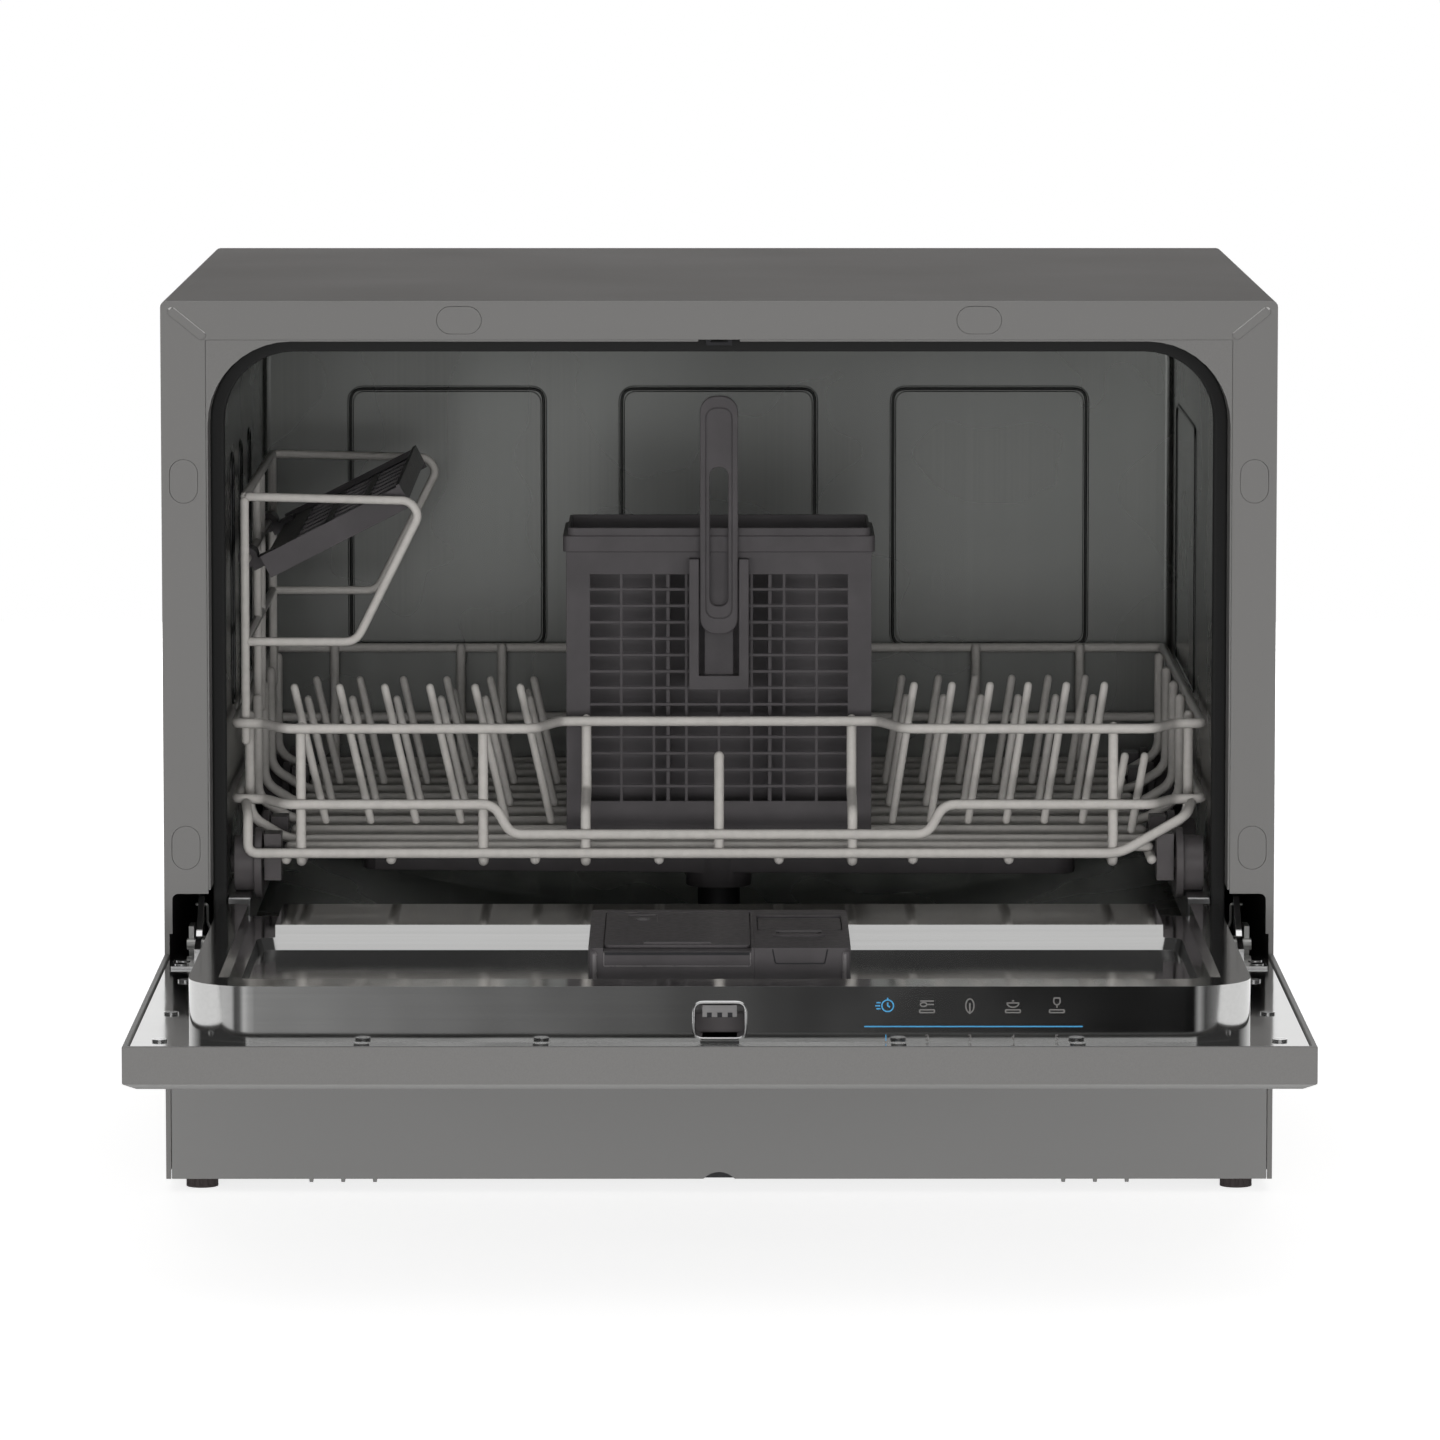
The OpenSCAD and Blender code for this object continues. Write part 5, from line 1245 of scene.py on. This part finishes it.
@dataclass
class Studio:
    """Camera, lamps, worktop and surroundings."""

    lens: float = 214.9
    camera_at: Point = (-0.00404, -4.305, 0.7012)
    pitch: float = 6.288
    yaw: float = -0.0608
    ambient: float = 0.2
    glow: float = 0.78
    mirror_stops: tuple[Span, ...] = (
        (0.0, 0.2), (0.08, 0.75), (0.17, 0.7), (0.21, 0.08), (0.27, 0.15), (0.33, 0.75), (0.4, 0.5),
        (0.47, 0.42), (0.485, 0.24), (0.5, 0.08), (0.515, 0.0), (0.65, 0.0), (0.72, 0.5), (0.8, 0.08),
        (1.0, 0.4))
    sky_stops: tuple[Span, ...] = (
        (0.0, 0.3), (0.13, 0.34), (0.23, 0.06), (0.65, 0.06), (0.76, 1.0), (1.0, 1.1))

    def camera(self) -> None:
        """Stand the camera at the photograph's place."""
        data = bpy.data.cameras.new("camera")
        data.lens = self.lens
        data.sensor_width = 36.0
        data.clip_start, data.clip_end = 0.1, 100.0
        obj = bpy.data.objects.new("camera", data)
        obj.location = self.camera_at
        obj.rotation_euler = (math.radians(90 - self.pitch), 0, math.radians(self.yaw))
        bpy.context.scene.collection.objects.link(obj)
        bpy.context.scene.camera = obj

    def lamp(self, name: str, place: Point, aim: Point, size: Span, power: float,
             mirrored: bool = False) -> None:
        """Hang one soft box.

        Args:
            name: The lamp's name.
            place: Where it hangs, in metres.
            aim: The point it faces, in metres.
            size: Its width and height in metres.
            power: Its power in watts.
            mirrored: Whether shiny surfaces show it.
        """
        data = bpy.data.lights.new(name, "AREA")
        data.shape = "RECTANGLE"
        data.size, data.size_y = size
        data.energy = power
        obj = bpy.data.objects.new(name, data)
        obj.location = place
        way = Vector(aim) - Vector(place)
        obj.rotation_euler = way.to_track_quat("-Z", "Y").to_euler()
        obj.visible_glossy = mirrored
        bpy.context.scene.collection.objects.link(obj)

    def world(self) -> None:
        """Light the room evenly, white to the camera and behind, and darker in front to metal."""
        world = bpy.data.worlds.new("studio")
        bpy.context.scene.world = world
        desk = NodeDesk(world)
        desk.tree.nodes.clear()

        def light(strength: float = 1.0, colour: Colour = (1, 1, 1)) -> bpy.types.Node:
            """Add an even light."""
            return desk.node("ShaderNodeBackground", Color=(*colour, 1), Strength=strength)

        def blend(first: Socket, second: Socket, share: Socket) -> Socket:
            """Mix two lights by a share of the second."""
            mix = desk.node("ShaderNodeMixShader")
            for source, target in zip((share, first, second), mix.inputs):
                desk.link(source, target)
            return mix.outputs[0]

        path = desk.node("ShaderNodeLightPath").outputs
        split = desk.node("ShaderNodeSeparateXYZ")
        desk.link(desk.node("ShaderNodeTexCoord").outputs["Generated"], split.inputs["Vector"])
        x, y, z = split.outputs
        room, white = light(self.ambient, (1, 0.99, 0.98)).outputs[0], light().outputs[0]
        scenes = []
        for place, span, stops in ((x, (-1.0, 1.0), self.mirror_stops),
                                   (z, (-0.15, 1.0), self.sky_stops)):
            made = light()
            greys = [(position, (level,) * 3) for position, level in stops]
            desk.link(desk.ramp(desk.spread(place, span), greys), made.inputs["Color"])
            scenes.append(made.outputs[0])
        ahead = blend(*scenes, desk.spread(z, (-0.12, -0.06)))
        mirror = blend(ahead, white, desk.spread(y, (0.3, 0.8)))
        lit = blend(room, mirror, path["Is Glossy Ray"])
        seen = desk.largest(path["Is Camera Ray"], path["Is Transmission Ray"])
        desk.link(blend(lit, white, seen), desk.node("ShaderNodeOutputWorld").inputs["Surface"])

    def worktop(self) -> None:
        """Lay a white surface that keeps the part's shadow."""
        bm = bmesh.new()
        bmesh.ops.create_grid(bm, x_segments=1, y_segments=1, size=1.0)
        bmesh.ops.scale(bm, verts=bm.verts, vec=(2.4, 1.8, 1))
        bmesh.ops.translate(bm, verts=bm.verts, vec=(0, 1.0, 0))
        floor = from_bmesh("worktop", bm)
        desk = ShaderDesk("white_worktop")
        output = next(n for n in desk.tree.nodes if n.type == "OUTPUT_MATERIAL")
        desk.set(Base_Color=(0.8, 0.8, 0.8, 1), Roughness=0.9, Specular_IOR_Level=0.0)
        path = desk.node("ShaderNodeLightPath").outputs
        seen = desk.largest(*(path[f"Is {ray} Ray"] for ray in ("Camera", "Glossy", "Transmission")))
        glow, both = desk.node("ShaderNodeEmission"), desk.node("ShaderNodeAddShader")
        desk.link(desk.spread(seen, (0.0, 1.0), (0.0, self.glow)), glow.inputs["Strength"])
        desk.link(glow.outputs[0], both.inputs[0])
        desk.link(desk.shader.outputs[0], both.inputs[1])
        desk.link(both.outputs[0], output.inputs["Surface"])
        floor.data.materials.append(desk.material)

    def build(self) -> None:
        """Set the whole studio."""
        self.camera()
        self.world()
        self.worktop()
        self.lamp("front_box", (0.2, -4.7, 1.35), (0, 0, 0.2), (3.6, 1.2), 12.0, mirrored=True)
        self.lamp("front_fill", (0, -4.7, 0.3), (0, 0, 0.12), (4.5, 0.6), 135.0)
        self.lamp("left_strip", (-3.0, -2.2, 0.7), (0, 0, 0.2), (0.7, 1.4), 14.0)
        self.lamp("right_strip", (3.0, -2.2, 0.7), (0, 0, 0.2), (0.7, 1.4), 14.0)
        self.lamp("top_box", (0, 0, 2.6), (0, 0, 0), (2.4, 2.4), 2.0)
        self.lamp("back_box", (0, 2.8, 1.0), (0, 0.2, 0.2), (2.4, 1.2), 30.0)
        bpy.context.scene.view_settings.view_transform = "Standard"


def dress_frame() -> None:
    """Give every CAD node that still shows its finish."""
    for node, obj in frame["nodes"].items():
        finish = SLOT_FINISHES[SLOTS[node]].build()
        for slot in obj.material_slots:
            slot.material = finish


def main() -> None:
    """Build the studio and every sub-assembly in order."""
    logging.basicConfig(level=logging.INFO, format="%(name)s: %(message)s")
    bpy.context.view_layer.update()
    Studio().build()
    dress_frame()
    for assembly in (Cabinet(), Tub(), Door(), Dispenser(), Basket(), GlassRack(),
                     CutleryBasket(), Springs(), Legend()):
        LOG.info("building %s", type(assembly).__name__)
        assembly.build()


if __name__ == "__main__":
    main()
